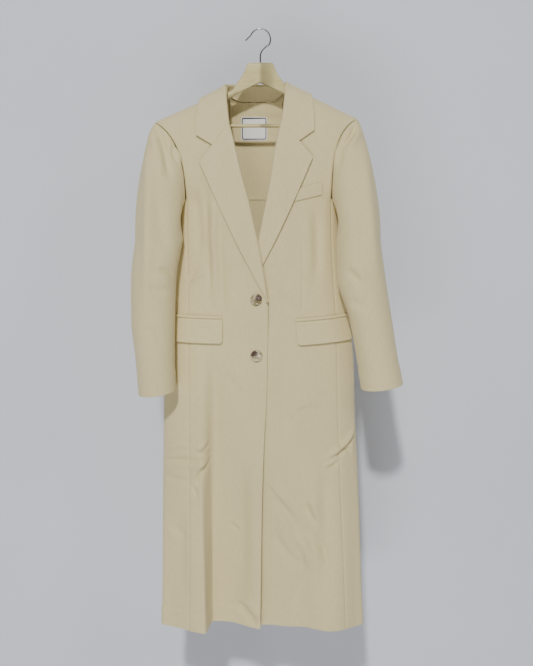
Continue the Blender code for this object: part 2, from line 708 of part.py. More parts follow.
def pocket_surface(flap):
    """A flap, lip or welt: a four-sided piece on the front, with its lower corners rounded."""
    sign = SIDES[flap.side]

    def point(across, along):
        width = flap.x_out - flap.x_in
        from_edge = clamp(min(across, 1.0 - across)) * width
        rise = 0.0
        if from_edge < flap.corner:
            rise = flap.corner - math.sqrt(flap.corner ** 2 - (flap.corner - from_edge) ** 2)
        foot = mix(flap.z_foot_in, flap.z_foot_out, across) + rise
        z = mix(foot, mix(flap.z_in, flap.z_out, across), along)
        x = sign * (mix(flap.x_in, flap.x_out, across) + flap.lean * (1.0 - along))
        return Vector((x + COAT_SHIFT, front_y(flap.side, x, z), z))
    return point


def inside_back(half):
    """The back's surface from side to side; its walls are moved inwards."""
    def point(across, along):
        x = mix(-half, half, across)
        return back_point("left" if x > 0.0 else "right", x, along)
    return point


def label_surface(across, along):
    low_x, high_x, low_z, high_z = LABEL
    x, z = mix(low_x, high_x, across), mix(low_z, high_z, along)
    return Vector((x + COAT_SHIFT, back_y("left" if x > 0.0 else "right", x, z), z))

# ---------------------------------------------------------------- walls


def normals_of(surface, across, along, facing):
    """The outward direction of a surface at a place, from its neighbours."""
    step = 0.002
    low_a, high_a = max(across - step, -0.001), min(across + step, 1.001)
    side_step = surface(high_a, along) - surface(low_a, along)
    long_step = surface(across, along + step) - surface(across, along - step)
    return side_step.cross(long_step).normalized() * facing


def wall_mesh(name, outer, inner):
    """A closed wall between two like grids of points."""
    mesh = bmesh.new()
    rows, columns = len(outer), len(outer[0])
    skins = [[[mesh.verts.new(p) for p in row] for row in grid] for grid in (outer, inner)]
    for i in range(rows - 1):
        for j in range(columns - 1):
            for skin in skins:
                mesh.faces.new((skin[i][j], skin[i][j + 1], skin[i + 1][j + 1], skin[i + 1][j]))
    rim = [(0, j) for j in range(columns)] + [(i, columns - 1) for i in range(1, rows)]
    rim += [(rows - 1, j) for j in range(columns - 2, -1, -1)]
    rim += [(i, 0) for i in range(rows - 2, 0, -1)]
    for (i, j), (k, m) in zip(rim, rim[1:] + rim[:1]):
        mesh.faces.new((skins[0][i][j], skins[0][k][m], skins[1][k][m], skins[1][i][j]))
    bmesh.ops.recalc_face_normals(mesh, faces=mesh.faces)
    data = bpy.data.meshes.new(name)
    mesh.to_mesh(data)
    mesh.free()
    data.shade_smooth()
    data.set_sharp_from_angle(angle=math.radians(40.0))
    return data


def cloth_wall(name, slot, surface, acrosses, alongs, facing, wall=WALL, lift=0.0):
    """A cloth piece: its outer face is the surface moved out by the lift."""
    outer, inner = [], []
    for along in alongs:
        faces = [(surface(a, along), normals_of(surface, a, along, facing)) for a in acrosses]
        outer.append([point + normal * lift for point, normal in faces])
        inner.append([point + normal * (lift - wall) for point, normal in faces])
    return place(name, wall_mesh(name, outer, inner), slot)


def material(slot):
    made = bpy.data.materials.get(slot)
    if made is None:
        colour, roughness, metallic = COLOURS[slot]
        made = bpy.data.materials.new(slot)
        made.use_nodes = True
        shader = made.node_tree.nodes["Principled BSDF"]
        shader.inputs["Base Color"].default_value = (*colour, 1.0)
        shader.inputs["Roughness"].default_value = roughness
        shader.inputs["Metallic"].default_value = metallic
    return made


def place(name, data, slot):
    made = bpy.data.objects.new(name, data)
    bpy.data.collections["coat_on_hanger"].objects.link(made)
    data.materials.append(material(slot))
    return made

# ---------------------------------------------------------------- pieces

BELOW = spread(0.0, 0.82, 12)[:-1] + spread(0.82, 1.0, 3)
ABOVE = [1.03, 1.08, 1.16, 1.28, 1.42, 1.58, 1.75, 1.90, 1.999]
DEEP_FOLD_COLUMNS = [0.0, 0.09, 0.2, 0.31, 0.42, 0.53, 0.62, 0.665, 0.70, 0.725, 0.755, 0.79,
                     0.84, 0.91, 1.0]
BACK_COLUMNS = [0.0, 0.16, 0.32, 0.46, 0.58, 0.668, 0.676, 0.692, 0.72, 0.79, 0.86, 0.93, 1.0]


def build_body():
    for side, sign in SIDES.items():
        columns = DEEP_FOLD_COLUMNS if side == "right" else spread(0.0, 1.0, 11)
        cloth_wall("front_" + side, "coat_cloth", front_surface(side), columns, BELOW + ABOVE, sign)
        cloth_wall("side_panel_" + side, "coat_cloth", side_surface(side), spread(0, 1, 6),
                   BELOW, sign)
        cloth_wall("back_" + side, "coat_cloth", back_surface(side), BACK_COLUMNS,
                   BELOW + ABOVE, sign)


def columns_with(corner, first, last, before, after):
    """Even columns from 0 to 1 with one of them on the armhole's corner."""
    share = (corner - first) / (last - first)
    return spread(0.0, share, before) + spread(share, 1.0, after)[1:]


def build_sleeves():
    head = [0.0, 0.10, 0.22, 0.36, 0.52, 0.70, 0.86, 1.0]
    rows = head + spread(1.0, 2.0, 7)[1:]
    front_seam, back_seam = SLEEVE_SEAMS
    corner = ARMHOLE_FRONT_END
    top = (back_seam - 1.0 + SLEEVE_SEAM_SHARE, front_seam - SLEEVE_SEAM_SHARE)
    under = (front_seam + SLEEVE_SEAM_SHARE, back_seam - SLEEVE_SEAM_SHARE)
    for side, sign in SIDES.items():
        cloth_wall("sleeve_top_" + side, "coat_cloth", sleeve_surface(side, *top),
                   columns_with(corner, *top, 13, 2), rows, sign)
        cloth_wall("sleeve_under_" + side, "coat_cloth", sleeve_surface(side, *under),
                   columns_with(1.0 - corner, *under, 8, 2), rows, sign)


def build_lapels_and_collar():
    turn = spread(0.0, COLLAR_TURN, 4)
    for side, sign in SIDES.items():
        cloth_wall("lapel_" + side, "coat_cloth", lapel_surface(side),
                   turn + spread(COLLAR_TURN, 1.0, 5)[1:], spread(0.0, 1.0, 12), sign)
    rounds = spread(-1.0, 1.0, 32)
    cloth_wall("collar_fall", "coat_cloth", collar_fall,
               turn + spread(COLLAR_TURN, 1.0, 6)[1:], rounds, -1)
    cloth_wall("collar_stand", "coat_cloth", collar_stand, spread(0, 1, 4),
               spread(-STAND_END, STAND_END, 30), 1)


def build_pockets():
    columns = [0.0, 0.018, 0.06, 0.25, 0.5, 0.7, 0.82, 0.94, 0.982, 1.0]
    for name, flap in FLAPS.items():
        cloth_wall(name, "coat_cloth", pocket_surface(flap), columns, spread(0, 1, 3),
                   SIDES[flap.side], WALL, WALL + LAID)
    for name, lip in LIPS.items():
        cloth_wall(name, "coat_cloth", pocket_surface(lip), spread(0, 1, 9), [0.0, 1.0],
                   SIDES[lip.side], THIN_WALL, THIN_WALL + LAID)
    cloth_wall("chest_welt", "coat_cloth", pocket_surface(WELT), spread(0, 1, 4), [0.0, 0.5, 1.0],
               SIDES[WELT.side], THIN_WALL, THIN_WALL + LAID)


def build_inside():
    """Facing, lining, label and hanging loop, as far as they show through the neck."""
    inset = -(WALL + LAID)
    across = spread(0.0, 1.0, 10)
    cloth_wall("back_facing", "lining", inside_back(FACING_HALF), across,
               [1.002] + ABOVE[:-1] + [1.96], -1, THIN_WALL, inset)
    cloth_wall("back_lining", "lining", inside_back(FACING_HALF), across,
               spread(LINING_END, 1.0 - 0.001, 3), -1, THIN_WALL, inset)
    on_facing = inset - THIN_WALL - SEAM
    cloth_wall("neck_label", "label_cloth", label_surface, spread(0, 1, 4), spread(0, 1, 4), -1,
               THIN_WALL, on_facing)
    loop = []
    for step in range(9):
        angle = math.pi * step / 8
        x = LOOP_X + LOOP_RADIUS * math.cos(angle)
        z = BACK_NECK_Z - 0.003 - LOOP_RADIUS * 0.8 * math.sin(angle)
        y = back_y("right", x, z) + on_facing - LOOP_WIRE - SEAM
        loop.append(Vector((x + COAT_SHIFT, y, z)))
    wire("hang_loop", "coat_cloth", loop, LOOP_WIRE)


def wire(name, slot, points, radius):
    curve = bpy.data.curves.new(name, "CURVE")
    curve.dimensions = "3D"
    curve.bevel_depth = radius
    curve.bevel_resolution = 2
    curve.use_fill_caps = True
    spline = curve.splines.new("POLY")
    spline.points.add(len(points) - 1)
    for knot, point in zip(spline.points, points):
        knot.co = (*point, 1.0)
    spline.use_smooth = True
    return place(name, curve, slot)


def build_button(name, z):
    """A turned button with a raised rim and four sewing holes."""
    radius, height = BUTTON_RADIUS, BUTTON_HEIGHT
    profile = [(0.0, height * 0.62), (radius * 0.62, height * 0.66), (radius * 0.74, height * 0.97),
               (radius * 0.84, height), (radius * 0.96, height * 0.88), (radius, height * 0.6),
               (radius * 0.97, height * 0.25), (radius * 0.80, 0.0), (0.0, 0.0)]
    data = bpy.data.meshes.new(name)
    data.from_pydata([(r, 0.0, h) for r, h in profile], [(i, i + 1) for i in range(len(profile) - 1)], [])
    button = place(name, data, "button_horn")
    turn = button.modifiers.new("turn", "SCREW")
    turn.steps = 28
    turn.render_steps = 28
    turn.use_merge_vertices = True
    turn.merge_threshold = 0.00001
    turn.use_smooth_shade = True
    reach = [i * radius / 2.0 for i in (-2, -1, 0, 1, 2)]
    rest_y = min(front_y("right", BUTTON_X + dx, z + dz)
                 for dx in reach for dz in reach if math.hypot(dx, dz) <= radius)
    button.location = (BUTTON_X + COAT_SHIFT, rest_y - SEAM, z)
    button.rotation_euler = (math.radians(90.0), 0.0, 0.0)
    holes = bmesh.new()
    for i in range(4):
        angle = math.radians(45.0 + 90.0 * i)
        made = bmesh.ops.create_cone(holes, cap_ends=True, segments=8, radius1=BUTTON_HOLE_RADIUS,
                                     radius2=BUTTON_HOLE_RADIUS, depth=4.0 * height)
        shift = Vector((math.cos(angle), math.sin(angle), 0.0)) * BUTTON_HOLE_PLACE * math.sqrt(2.0)
        bmesh.ops.translate(holes, verts=made["verts"], vec=shift)
    cut(button, name + "_holes", holes)


def cut(body, name, shape):
    """Cut a shape out of a body; the cutter sits in the body's own frame."""
    data = bpy.data.meshes.new(name)
    shape.to_mesh(data)
    shape.free()
    cutter = bpy.data.objects.new(name, data)
    cutter.location = body.location
    cutter.rotation_euler = body.rotation_euler
    cutter.hide_render = True
    cutter.display_type = "WIRE"
    bpy.data.collections["cutters"].objects.link(cutter)
    hole = body.modifiers.new(name, "BOOLEAN")
    hole.operation = "DIFFERENCE"
    hole.solver = "EXACT"
    hole.object = cutter


def rod(radius, half):
    """A rod across the hanger, at the trouser bar's place."""
    shape = bmesh.new()
    turned = Matrix.Translation((0.0, 0.0, BAR_Z)) @ Matrix.Rotation(math.radians(90.0), 4, "Y")
    bmesh.ops.create_cone(shape, cap_ends=True, segments=16, radius1=radius, radius2=radius,
                          depth=2.0 * half, matrix=turned)
    return shape


def build_hanger():
    sides = 14
    rows = [arm._replace(x=-arm.x) for arm in HANGER[:0:-1]] + HANGER
    mesh = bmesh.new()
    rings = []
    for row in rows:
        middle, half = (row.top + row.foot) / 2.0, (row.top - row.foot) / 2.0
        ring = []
        for i in range(sides):
            turn = 2.0 * math.pi * (i + 0.5) / sides
            across, up = math.cos(turn), math.sin(turn)
            y = row.half_depth * math.copysign(abs(across) ** 0.8, across)
            ring.append(mesh.verts.new((row.x, y, middle + half * math.copysign(abs(up) ** 0.9, up))))
        rings.append(ring)
    for one, two in zip(rings, rings[1:]):
        for i in range(sides):
            mesh.faces.new((one[i], one[(i + 1) % sides], two[(i + 1) % sides], two[i]))
    mesh.faces.new(rings[0])
    mesh.faces.new(rings[-1])
    bmesh.ops.recalc_face_normals(mesh, faces=mesh.faces)
    data = bpy.data.meshes.new("hanger_body")
    mesh.to_mesh(data)
    mesh.free()
    data.shade_smooth()
    data.set_sharp_from_angle(angle=math.radians(50.0))
    hanger = place("hanger_body", data, "hanger_wood")
    cut(hanger, "bar_bore", rod(BAR_RADIUS + BAR_FIT, BAR_HALF + BAR_FIT))
    shape = rod(BAR_RADIUS, BAR_HALF)
    bar = bpy.data.meshes.new("hanger_bar")
    shape.to_mesh(bar)
    shape.free()
    bar.shade_smooth()
    bar.set_sharp_from_angle(angle=math.radians(50.0))
    place("hanger_bar", bar, "hanger_wood")

    crown_z = HOOK_WIRE - HOOK_RADIUS
    arc = []
    for step in range(19):
        angle = math.radians(mix(*HOOK_ARC, step / 18))
        arc.append(Vector((HOOK_RADIUS * math.cos(angle), 0.0, crown_z + HOOK_RADIUS * math.sin(angle))))
    stem = [Vector((point.x, 0.0, point.z)) for point in HOOK_STEM]
    wire("hanger_hook", "hanger_metal", stem + arc + [Vector((HOOK_TIP.x, 0.0, HOOK_TIP.z))], HOOK_WIRE)


def main():
    for old in list(bpy.data.objects):
        bpy.data.objects.remove(old, do_unlink=True)
    coat = bpy.data.collections.new("coat_on_hanger")
    cutters = bpy.data.collections.new("cutters")
    for collection in (coat, cutters):
        bpy.context.scene.collection.children.link(collection)
    build_body()
    build_sleeves()
    build_lapels_and_collar()
    build_pockets()
    build_inside()
    for name, z in BUTTON_HEIGHTS.items():
        build_button(name, z)
    build_hanger()


main()
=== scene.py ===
import math
from collections import namedtuple

import bmesh
import bpy
import numpy as np
from mathutils import Matrix, Vector, noise


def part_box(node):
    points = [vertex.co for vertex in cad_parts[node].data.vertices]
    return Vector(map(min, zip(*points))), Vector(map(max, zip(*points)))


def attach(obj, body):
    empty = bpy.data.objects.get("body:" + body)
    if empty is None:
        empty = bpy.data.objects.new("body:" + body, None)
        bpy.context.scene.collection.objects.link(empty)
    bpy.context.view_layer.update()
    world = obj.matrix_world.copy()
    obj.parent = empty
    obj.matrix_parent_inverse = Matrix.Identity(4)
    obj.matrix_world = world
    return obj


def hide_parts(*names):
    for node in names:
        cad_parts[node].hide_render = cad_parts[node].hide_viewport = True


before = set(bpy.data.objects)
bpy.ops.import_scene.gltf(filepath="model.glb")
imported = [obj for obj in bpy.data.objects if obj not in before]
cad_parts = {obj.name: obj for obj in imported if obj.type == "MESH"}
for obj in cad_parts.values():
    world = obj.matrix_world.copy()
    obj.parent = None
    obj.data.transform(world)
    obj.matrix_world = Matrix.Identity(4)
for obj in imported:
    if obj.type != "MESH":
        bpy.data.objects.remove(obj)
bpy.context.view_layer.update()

# The looks of a single-breasted coat on its hanger. Metres, +Z up; the coat faces -Y.
# The cloth follows the same surfaces as the solids.  Its creases are laid over them.

# ---------------------------------------------------------------- the coat's sizes

COAT_SHIFT = -0.009            # the coat's middle lies this far from the hook
WALL = 0.0020                  # shell cloth with its lining
THIN_WALL = 0.0012             # facing, lining and label
SEAM = 0.0003                  # gap between two sewn pieces
CURVED_SEAM = 0.0006           # the same, where both pieces' edges are curved
LAID = 0.0008                  # gap under a piece that lies on a panel

HEM_Z = -1.285
CHEST_Z = -0.340               # level of the underarm
ROUNDNESS = 2.4                # exponent of the body's oval sections
SHOULDER_ROUNDNESS = 2.6       # exponent of the arch over the shoulder

NECK_HALF = 0.068              # middle of the neck to the neck end of the shoulder seam
SHOULDER_NECK_Z = -0.120       # shoulder seam's height at SHOULDER_NECK_X from the hook
SHOULDER_NECK_X = 0.0725
SHOULDER_SLOPE = 0.444
SHOULDER_SEAM_Y = -0.006       # the shoulder seam lies a little in front of the ridge
BACK_NECK_Y = 0.050
BACK_NECK_Z = -0.140
BACK_NECK_FLATNESS = 3.2       # how far out the neck seam keeps the height it has at the back

# the armhole's corners at the underarm, from there out to the shoulder's tip, and how late
# its edge turns out
Armhole = namedtuple("Armhole", "x reach curve")
ARMHOLES = {"right": Armhole(0.144, 0.061, 2.6), "left": Armhole(0.155, 0.051, 3.4)}
SHOULDER_SPREAD = 0.110        # how much wider the chest's oval gets up to the shoulder

ROLL_GAP = 0.0016              # inside radius of the lapel's and the collar's fold
ROLL = ROLL_GAP + WALL

BUTTON_RADIUS = 0.0123
BUTTON_HEIGHT = 0.0042

HOOK_WIRE = 0.0015             # radius of the hook's wire
HOOK_RADIUS = 0.0205           # radius of its bend, at the wire's middle
HOOK_ARC = (-33.0, 158.0)      # the bend runs between these angles, from +X towards +Z
BAR_RADIUS = 0.0038
BAR_HALF = 0.1755
BAR_Z = -0.190

COLLAR_BACK_Z = -0.180         # lower edge of the collar at the middle of the back
FACING_HALF = 0.056            # the inside facing and lining, as wide as the neck shows
LINING_END = 0.85              # how far down the body the lining is made
LABEL = (-0.032, 0.023, -0.2195, -0.171)
LOOP_X = -0.011
LOOP_RADIUS = 0.0075
BUTTON_HOLE_RADIUS = 0.0009
BUTTON_HOLE_PLACE = 0.0019

SIDES = {"right": -1, "left": 1}

# ---------------------------------------------------------------- tables, one row a section

Body = namedtuple("Body", "z half_right half_left front back widest seam_right seam_left")
BODY = [
    Body(-1.285, 0.214, 0.237, -0.032, 0.080, -0.010, 0.150, 0.197),
    Body(-1.130, 0.209, 0.230, -0.037, 0.078, -0.006, 0.147, 0.191),
    Body(-0.980, 0.207, 0.224, -0.042, 0.075, 0.000, 0.145, 0.183),
    Body(-0.830, 0.203, 0.215, -0.047, 0.071, 0.006, 0.144, 0.176),
    Body(-0.700, 0.198, 0.210, -0.050, 0.066, 0.011, 0.143, 0.172),
    Body(-0.580, 0.187, 0.198, -0.052, 0.060, 0.014, 0.142, 0.167),
    Body(-0.500, 0.174, 0.184, -0.054, 0.058, 0.017, 0.142, 0.161),
    Body(-0.420, 0.168, 0.177, -0.055, 0.058, 0.019, 0.143, 0.157),
    Body(-0.340, 0.159, 0.170, -0.055, 0.058, 0.018, 0.144, 0.155),
]

Edge = namedtuple("Edge", "z right left lap")
EDGE = [
    Edge(-1.285, 0.0070, -0.0330, 0.006),
    Edge(-1.000, 0.0110, -0.0310, 0.005),
    Edge(-0.870, 0.0150, -0.0300, 0.005),
    Edge(-0.720, 0.0220, -0.0280, 0.004),
    Edge(-0.640, 0.0230, -0.0270, 0.004),
    Edge(-0.555, 0.0240, -0.0240, 0.009),
    Edge(-0.510, 0.0185, -0.0150, 0.009),
    Edge(-0.470, 0.0120, -0.0060, 0.009),
    Edge(-0.425, 0.0040, 0.0040, 0.009),
    Edge(-0.385, -0.0050, 0.0120, 0.007),
    Edge(-0.340, -0.0145, 0.0210, 0.004),
]

LAP_START_X = -0.080           # the right front lifts over the left from here
LAP_WIDTH = 0.045
UNDERLAP_X = 0.020             # the left front keeps behind the right one up to here

# where the roll's fold shows; drop is 0 at the shoulder and 1 at the chest
Roll = namedtuple("Roll", "drop right left")
ROLL_LINE = [
    Roll(0.00, 0.0680, 0.0680),
    Roll(0.17, 0.0625, 0.0610),
    Roll(0.30, 0.0537, 0.0523),
    Roll(0.38, 0.0490, 0.0478),
    Roll(0.58, 0.0390, 0.0380),
    Roll(0.83, 0.0260, 0.0290),
    Roll(1.00, 0.0145, 0.0210),
]

Sleeve = namedtuple("Sleeve", "z outer inner middle_y half_depth tilt")
SLEEVES = {
    "right": [
        Sleeve(-0.736, 0.246, 0.169, -0.062, 0.040, -0.005),
        Sleeve(-0.660, 0.252, 0.170, -0.060, 0.042, -0.003),
        Sleeve(-0.580, 0.259, 0.168, -0.056, 0.044, 0.000),
        Sleeve(-0.500, 0.258, 0.165, -0.051, 0.046, 0.000),
        Sleeve(-0.420, 0.249, 0.150, -0.042, 0.048, 0.000),
    ],
    "left": [
        Sleeve(-0.723, 0.305, 0.220, -0.062, 0.040, 0.006),
        Sleeve(-0.660, 0.293, 0.209, -0.060, 0.042, 0.004),
        Sleeve(-0.580, 0.280, 0.193, -0.056, 0.044, 0.002),
        Sleeve(-0.500, 0.267, 0.168, -0.051, 0.046, 0.000),
        Sleeve(-0.420, 0.256, 0.165, -0.042, 0.048, 0.000),
    ],
}
SLEEVE_HEAD_Z = -0.420
ARMHOLE_FRONT_END = 0.36       # share of the armhole that is its front edge
SLEEVE_SEAMS = (0.42, 0.75)    # the under sleeve lies between these shares
SLEEVE_SEAM_SHARE = 0.0016     # half of the gap at the sleeve's seams, as a share of its girth
SLEEVE_EASE = 0.003            # room between the sleeve and the body under the arm
SLEEVE_BACK_EASE = 0.012       # the same behind the arm
LEAD_BEHIND = 0.5              # the armhole's back edge leads back this share of "ahead"
SLEEVE_TWIST = 0.09            # how far the front of the armhole turns on to the sleeve's inside

# how the sleeve leaves the armhole, from the shoulder's tip (0) to the underarm (0.5):
# its direction out, ahead and up, how far it keeps that, how straight it then hangs, and
# how far its edge stands off the armhole's
Lead = namedtuple("Lead", "share out ahead up reach hang proud")
LEADS = [
    Lead(0.00, 0.48, 0.00, -0.88, 0.036, 0.100, 0.0014),
    Lead(0.08, 0.50, 0.35, -0.75, 0.034, 0.085, 0.0010),
    Lead(0.20, 0.60, 0.60, -0.50, 0.030, 0.070, 0.0003),
    Lead(0.36, 0.25, 0.80, -0.30, 0.016, 0.040, 0.0000),
    Lead(0.43, 0.30, 0.30, 0.60, 0.012, 0.040, 0.0000),
    Lead(0.50, 0.37, 0.00, 0.93, 0.012, 0.040, 0.0000),
]

# soft vertical folds: depth is at the hem, + goes in, - stands out
Fold = namedtuple("Fold", "side face x_top x_hem width z_top depth")
FOLDS = [
    Fold("left", "front", 0.020, 0.022, 0.075, -0.700, 0.016),
    Fold("left", "front", 0.150, 0.168, 0.070, -0.600, -0.020),
    Fold("left", "front", 0.090, 0.094, 0.040, -0.800, 0.005),
    Fold("right", "back", 0.070, 0.080, 0.045, -0.520, -0.018),
    Fold("right", "back", 0.130, 0.145, 0.040, -0.600, 0.016),
    Fold("left", "back", 0.050, 0.060, 0.045, -0.560, -0.016),
    Fold("left", "back", 0.120, 0.130, 0.045, -0.480, 0.018),
    Fold("left", "back", 0.160, 0.185, 0.040, -0.700, -0.012),
]

FOLD_FADE = 0.12               # folds fade out over this share of the width at the sides

# the deep fold of the right front: a ridge, a steep flank and a valley
FLANK_TOP_Z = -0.600
FLANK_X = -0.107
FLANK_WIDTH = 0.016
FLANK_SPREAD = 2.5             # the flank is this many times as wide at its top
RIDGE_OUT = 0.030
RIDGE_WIDTH = 0.095
VALLEY_IN = 0.032
VALLEY_FLAT_X = -0.060
VALLEY_END_X = 0.012

Lapel = namedtuple("Lapel", "tip_x tip_z foot_x foot_z belly")
LAPELS = {
    "right": Lapel(-0.114, -0.262, 0.0215, -0.540, 0.004),
    "left": Lapel(0.114, -0.252, -0.0100, -0.514, 0.004),
}
LAPEL_LIFT = 0.003             # the lapel's edge stands off the front by this much more
LAPEL_FOOT_DROP = 0.006        # the fold starts this far below the lapel's foot
GORGE_X = 0.055
GORGE_DROP = 0.315             # where the roll line meets the gorge seam
ROLL_FOOT_Z = -0.562           # the roll's fold runs out into the front edge here
ROLL_FOOT_RISE = 0.030
NOTCH_SHARE = 0.546            # the gorge seam's share of the lapel's top line
GORGE_GAP = 0.0011             # between the lapel's top line and the collar
COLLAR_TIP = {"right": (-0.119, -0.208), "left": (0.116, -0.199)}

RIDGE_X = 0.0600               # side of the collar's top fold
RIDGE_Z = {"right": -0.1065, "left": -0.1015}
RIDGE_BACK_Z = -0.1055
RIDGE_BACK_Y = 0.0430          # inner face of the collar at the middle of the back
RIDGE_SIDE_Y = 0.002
STAND_END = 0.86               # the collar's stand runs out this far round the neck
COLLAR_SIDE_X = 0.110
COLLAR_HANG = 2.2              # how straight the collar's fold drops before it turns to the roll
COLLAR_LIFT = 0.0080
COLLAR_TURN = 0.25             # share of the fall that is its fold

Flap = namedtuple("Flap", "side x_in x_out z_in z_out z_foot_in z_foot_out corner lean")
FLAPS = {
    "pocket_flap_right": Flap("right", 0.070, 0.183, -0.5845, -0.5845, -0.634, -0.634, 0.007, 0.0),
    "pocket_flap_left": Flap("left", 0.081, 0.192, -0.5905, -0.5845, -0.638, -0.632, 0.006, 0.007),
}
LIPS = {
    "pocket_lip_right": Flap("right", 0.070, 0.183, -0.5770, -0.5770, -0.584, -0.584, 0.0, 0.0),
    "pocket_lip_left": Flap("left", 0.080, 0.191, -0.5830, -0.5775, -0.590, -0.584, 0.0, 0.0),
}
WELT = Flap("left", 0.080, 0.134, -0.3165, -0.3030, -0.3395, -0.3265, 0.0, 0.0)

Arm = namedtuple("Arm", "x top foot half_depth")
HANGER = [                     # wooden hanger, one row a section, from the hook outwards
    Arm(0.0000, -0.0650, -0.1050, 0.0095),
    Arm(0.0130, -0.0651, -0.1100, 0.0082),
    Arm(0.0255, -0.0655, -0.1158, 0.0070),
    Arm(0.0272, -0.0690, -0.1166, 0.0070),
    Arm(0.0310, -0.0795, -0.1185, 0.0071),
    Arm(0.0375, -0.0910, -0.1218, 0.0072),
    Arm(0.0455, -0.1010, -0.1258, 0.0073),
    Arm(0.0510, -0.1110, -0.1284, 0.0074),
    Arm(0.0570, -0.1185, -0.1330, 0.0078),
    Arm(0.0660, -0.1224, -0.1380, 0.0085),
    Arm(0.0760, -0.1258, -0.1430, 0.0092),
    Arm(0.0950, -0.1332, -0.1520, 0.0105),
    Arm(0.1250, -0.1465, -0.1680, 0.0135),
    Arm(0.1500, -0.1576, -0.1860, 0.0165),
    Arm(0.1640, -0.1638, -0.2060, 0.0180),
    Arm(0.1730, -0.1680, -0.2160, 0.0180),
    Arm(0.1820, -0.1730, -0.2160, 0.0165),
    Arm(0.1870, -0.1800, -0.2090, 0.0110),
]

HookPoint = namedtuple("HookPoint", "x z")
HOOK_STEM = [HookPoint(0.0000, -0.0647), HookPoint(0.0000, -0.0500), HookPoint(0.0015, -0.0445),
             HookPoint(0.0060, -0.0385), HookPoint(0.0120, -0.0330)]
HOOK_TIP = HookPoint(-0.0300, -0.0215)

# ---------------------------------------------------------------- small tools


def clamp(value, low=0.0, high=1.0):
    return max(low, min(high, value))


def mix(a, b, share):
    return a + (b - a) * share


def ease(share):
    share = clamp(share)
    return share * share * (3.0 - 2.0 * share)


def spread(start, end, count):
    return [mix(start, end, i / count) for i in range(count + 1)]


def track(rows, key, column):
    """A smooth curve through one column of a table, as a function of its key column."""
    points = sorted((getattr(row, key), getattr(row, column)) for row in rows)
    keys = [point[0] for point in points]
    values = [point[1] for point in points]
    rises = [(values[i + 1] - values[i]) / (keys[i + 1] - keys[i]) for i in range(len(keys) - 1)]
    slopes = [rises[0]]
    for before, after in zip(rises, rises[1:]):
        same_way = before * after > 0.0
        slopes.append(2.0 * before * after / (before + after) if same_way else 0.0)
    slopes.append(rises[-1])

    def value(at):
        at = clamp(at, keys[0], keys[-1])
        i = 0
        while i < len(keys) - 2 and at > keys[i + 1]:
            i += 1
        step = keys[i + 1] - keys[i]
        t = (at - keys[i]) / step
        start = (1 + 2 * t) * (1 - t) ** 2 * values[i] + t * (1 - t) ** 2 * step * slopes[i]
        end = t * t * (3 - 2 * t) * values[i + 1] + t * t * (t - 1) * step * slopes[i + 1]
        return start + end

    return value


BODY_TRACKS = {name: track(BODY, "z", name) for name in Body._fields if name != "z"}
EDGE_TRACKS = {name: track(EDGE, "z", name) for name in Edge._fields if name != "z"}
ROLL_TRACKS = {name: track(ROLL_LINE, "drop", name) for name in ("right", "left")}
SLEEVE_TRACKS = {
    side: {name: track(rows, "z", name) for name in Sleeve._fields if name != "z"}
    for side, rows in SLEEVES.items()
}
LEAD_TRACKS = {name: track(LEADS, "share", name) for name in Lead._fields if name != "share"}

# ---------------------------------------------------------------- the body's surface


def shoulder_z(x):
    """Height of the shoulder seam, which slopes evenly away from the hook."""
    return SHOULDER_NECK_Z - SHOULDER_SLOPE * (abs(x + COAT_SHIFT) - SHOULDER_NECK_X)


def drop_share(along):
    """0 at the shoulder seam and 1 at the chest, for along from 2 down to 1."""
    return 1.0 - math.sin(math.radians(90.0 * clamp(along - 1.0))) ** (2.0 / SHOULDER_ROUNDNESS)


def arch_share(drop):
    """How far the shoulder's arch has reached the chest's plane."""
    return (1.0 - (1.0 - clamp(drop)) ** SHOULDER_ROUNDNESS) ** (1.0 / SHOULDER_ROUNDNESS)


def half_width(side, z, drop=1.0):
    half = BODY_TRACKS["half_" + side](max(HEM_Z, min(z, CHEST_Z)))
    return half + SHOULDER_SPREAD * (1.0 - drop) ** 0.8


def fold_depth(side, face, x, z):
    """Soft folds on one face; x is the distance from the coat's middle to that side."""
    depth = 0.0
    for fold in FOLDS:
        if fold.side == side and fold.face == face:
            down = ease((fold.z_top - z) / (fold.z_top - HEM_Z))
            middle = mix(fold.x_top, fold.x_hem, down)
            away = clamp(abs(x - middle) / fold.width)
            depth += fold.depth * down * math.cos(0.5 * math.pi * away) ** 2
    return depth


def deep_fold(x, z):
    """The right front's deep fold; x is signed."""
    down = ease((FLANK_TOP_Z - z) / (FLANK_TOP_Z - HEM_Z))
    width = mix(FLANK_SPREAD * FLANK_WIDTH, FLANK_WIDTH, down)
    past_flank = ease((x - FLANK_X) / width + 0.5)
    ridge = 1.0 - ease((FLANK_X - x) / RIDGE_WIDTH)
    valley = 1.0 - ease((x - VALLEY_FLAT_X) / (VALLEY_END_X - VALLEY_FLAT_X))
    return down * (VALLEY_IN * valley * past_flank - RIDGE_OUT * ridge * (1.0 - past_flank))


def plane_y(side, face, x, z, drop=1.0):
    """Depth of the front or the back at x, before the shoulder's arch; x is signed."""
    sign = SIDES[side]
    widest = BODY_TRACKS["widest"](max(HEM_Z, min(z, CHEST_Z)))
    flat = BODY_TRACKS[face](max(HEM_Z, min(z, CHEST_Z)))
    share = clamp(abs(x) / half_width(side, z, drop), 0.0, 0.9999)
    y = widest + (flat - widest) * (1.0 - share ** ROUNDNESS) ** (1.0 / ROUNDNESS)
    turn = ease((1.0 - share) / FOLD_FADE)
    folds = fold_depth(side, face, sign * x, z)
    if face == "front":
        if side == "right":
            folds += deep_fold(x, z)
            folds -= EDGE_TRACKS["lap"](z) * ease((x - LAP_START_X) / LAP_WIDTH)
            return y + folds * turn
        y += folds * turn
        if x < UNDERLAP_X:
            y = max(y, plane_y("right", "front", x, z, drop) + WALL + LAID)
        return y
    return y - folds * turn


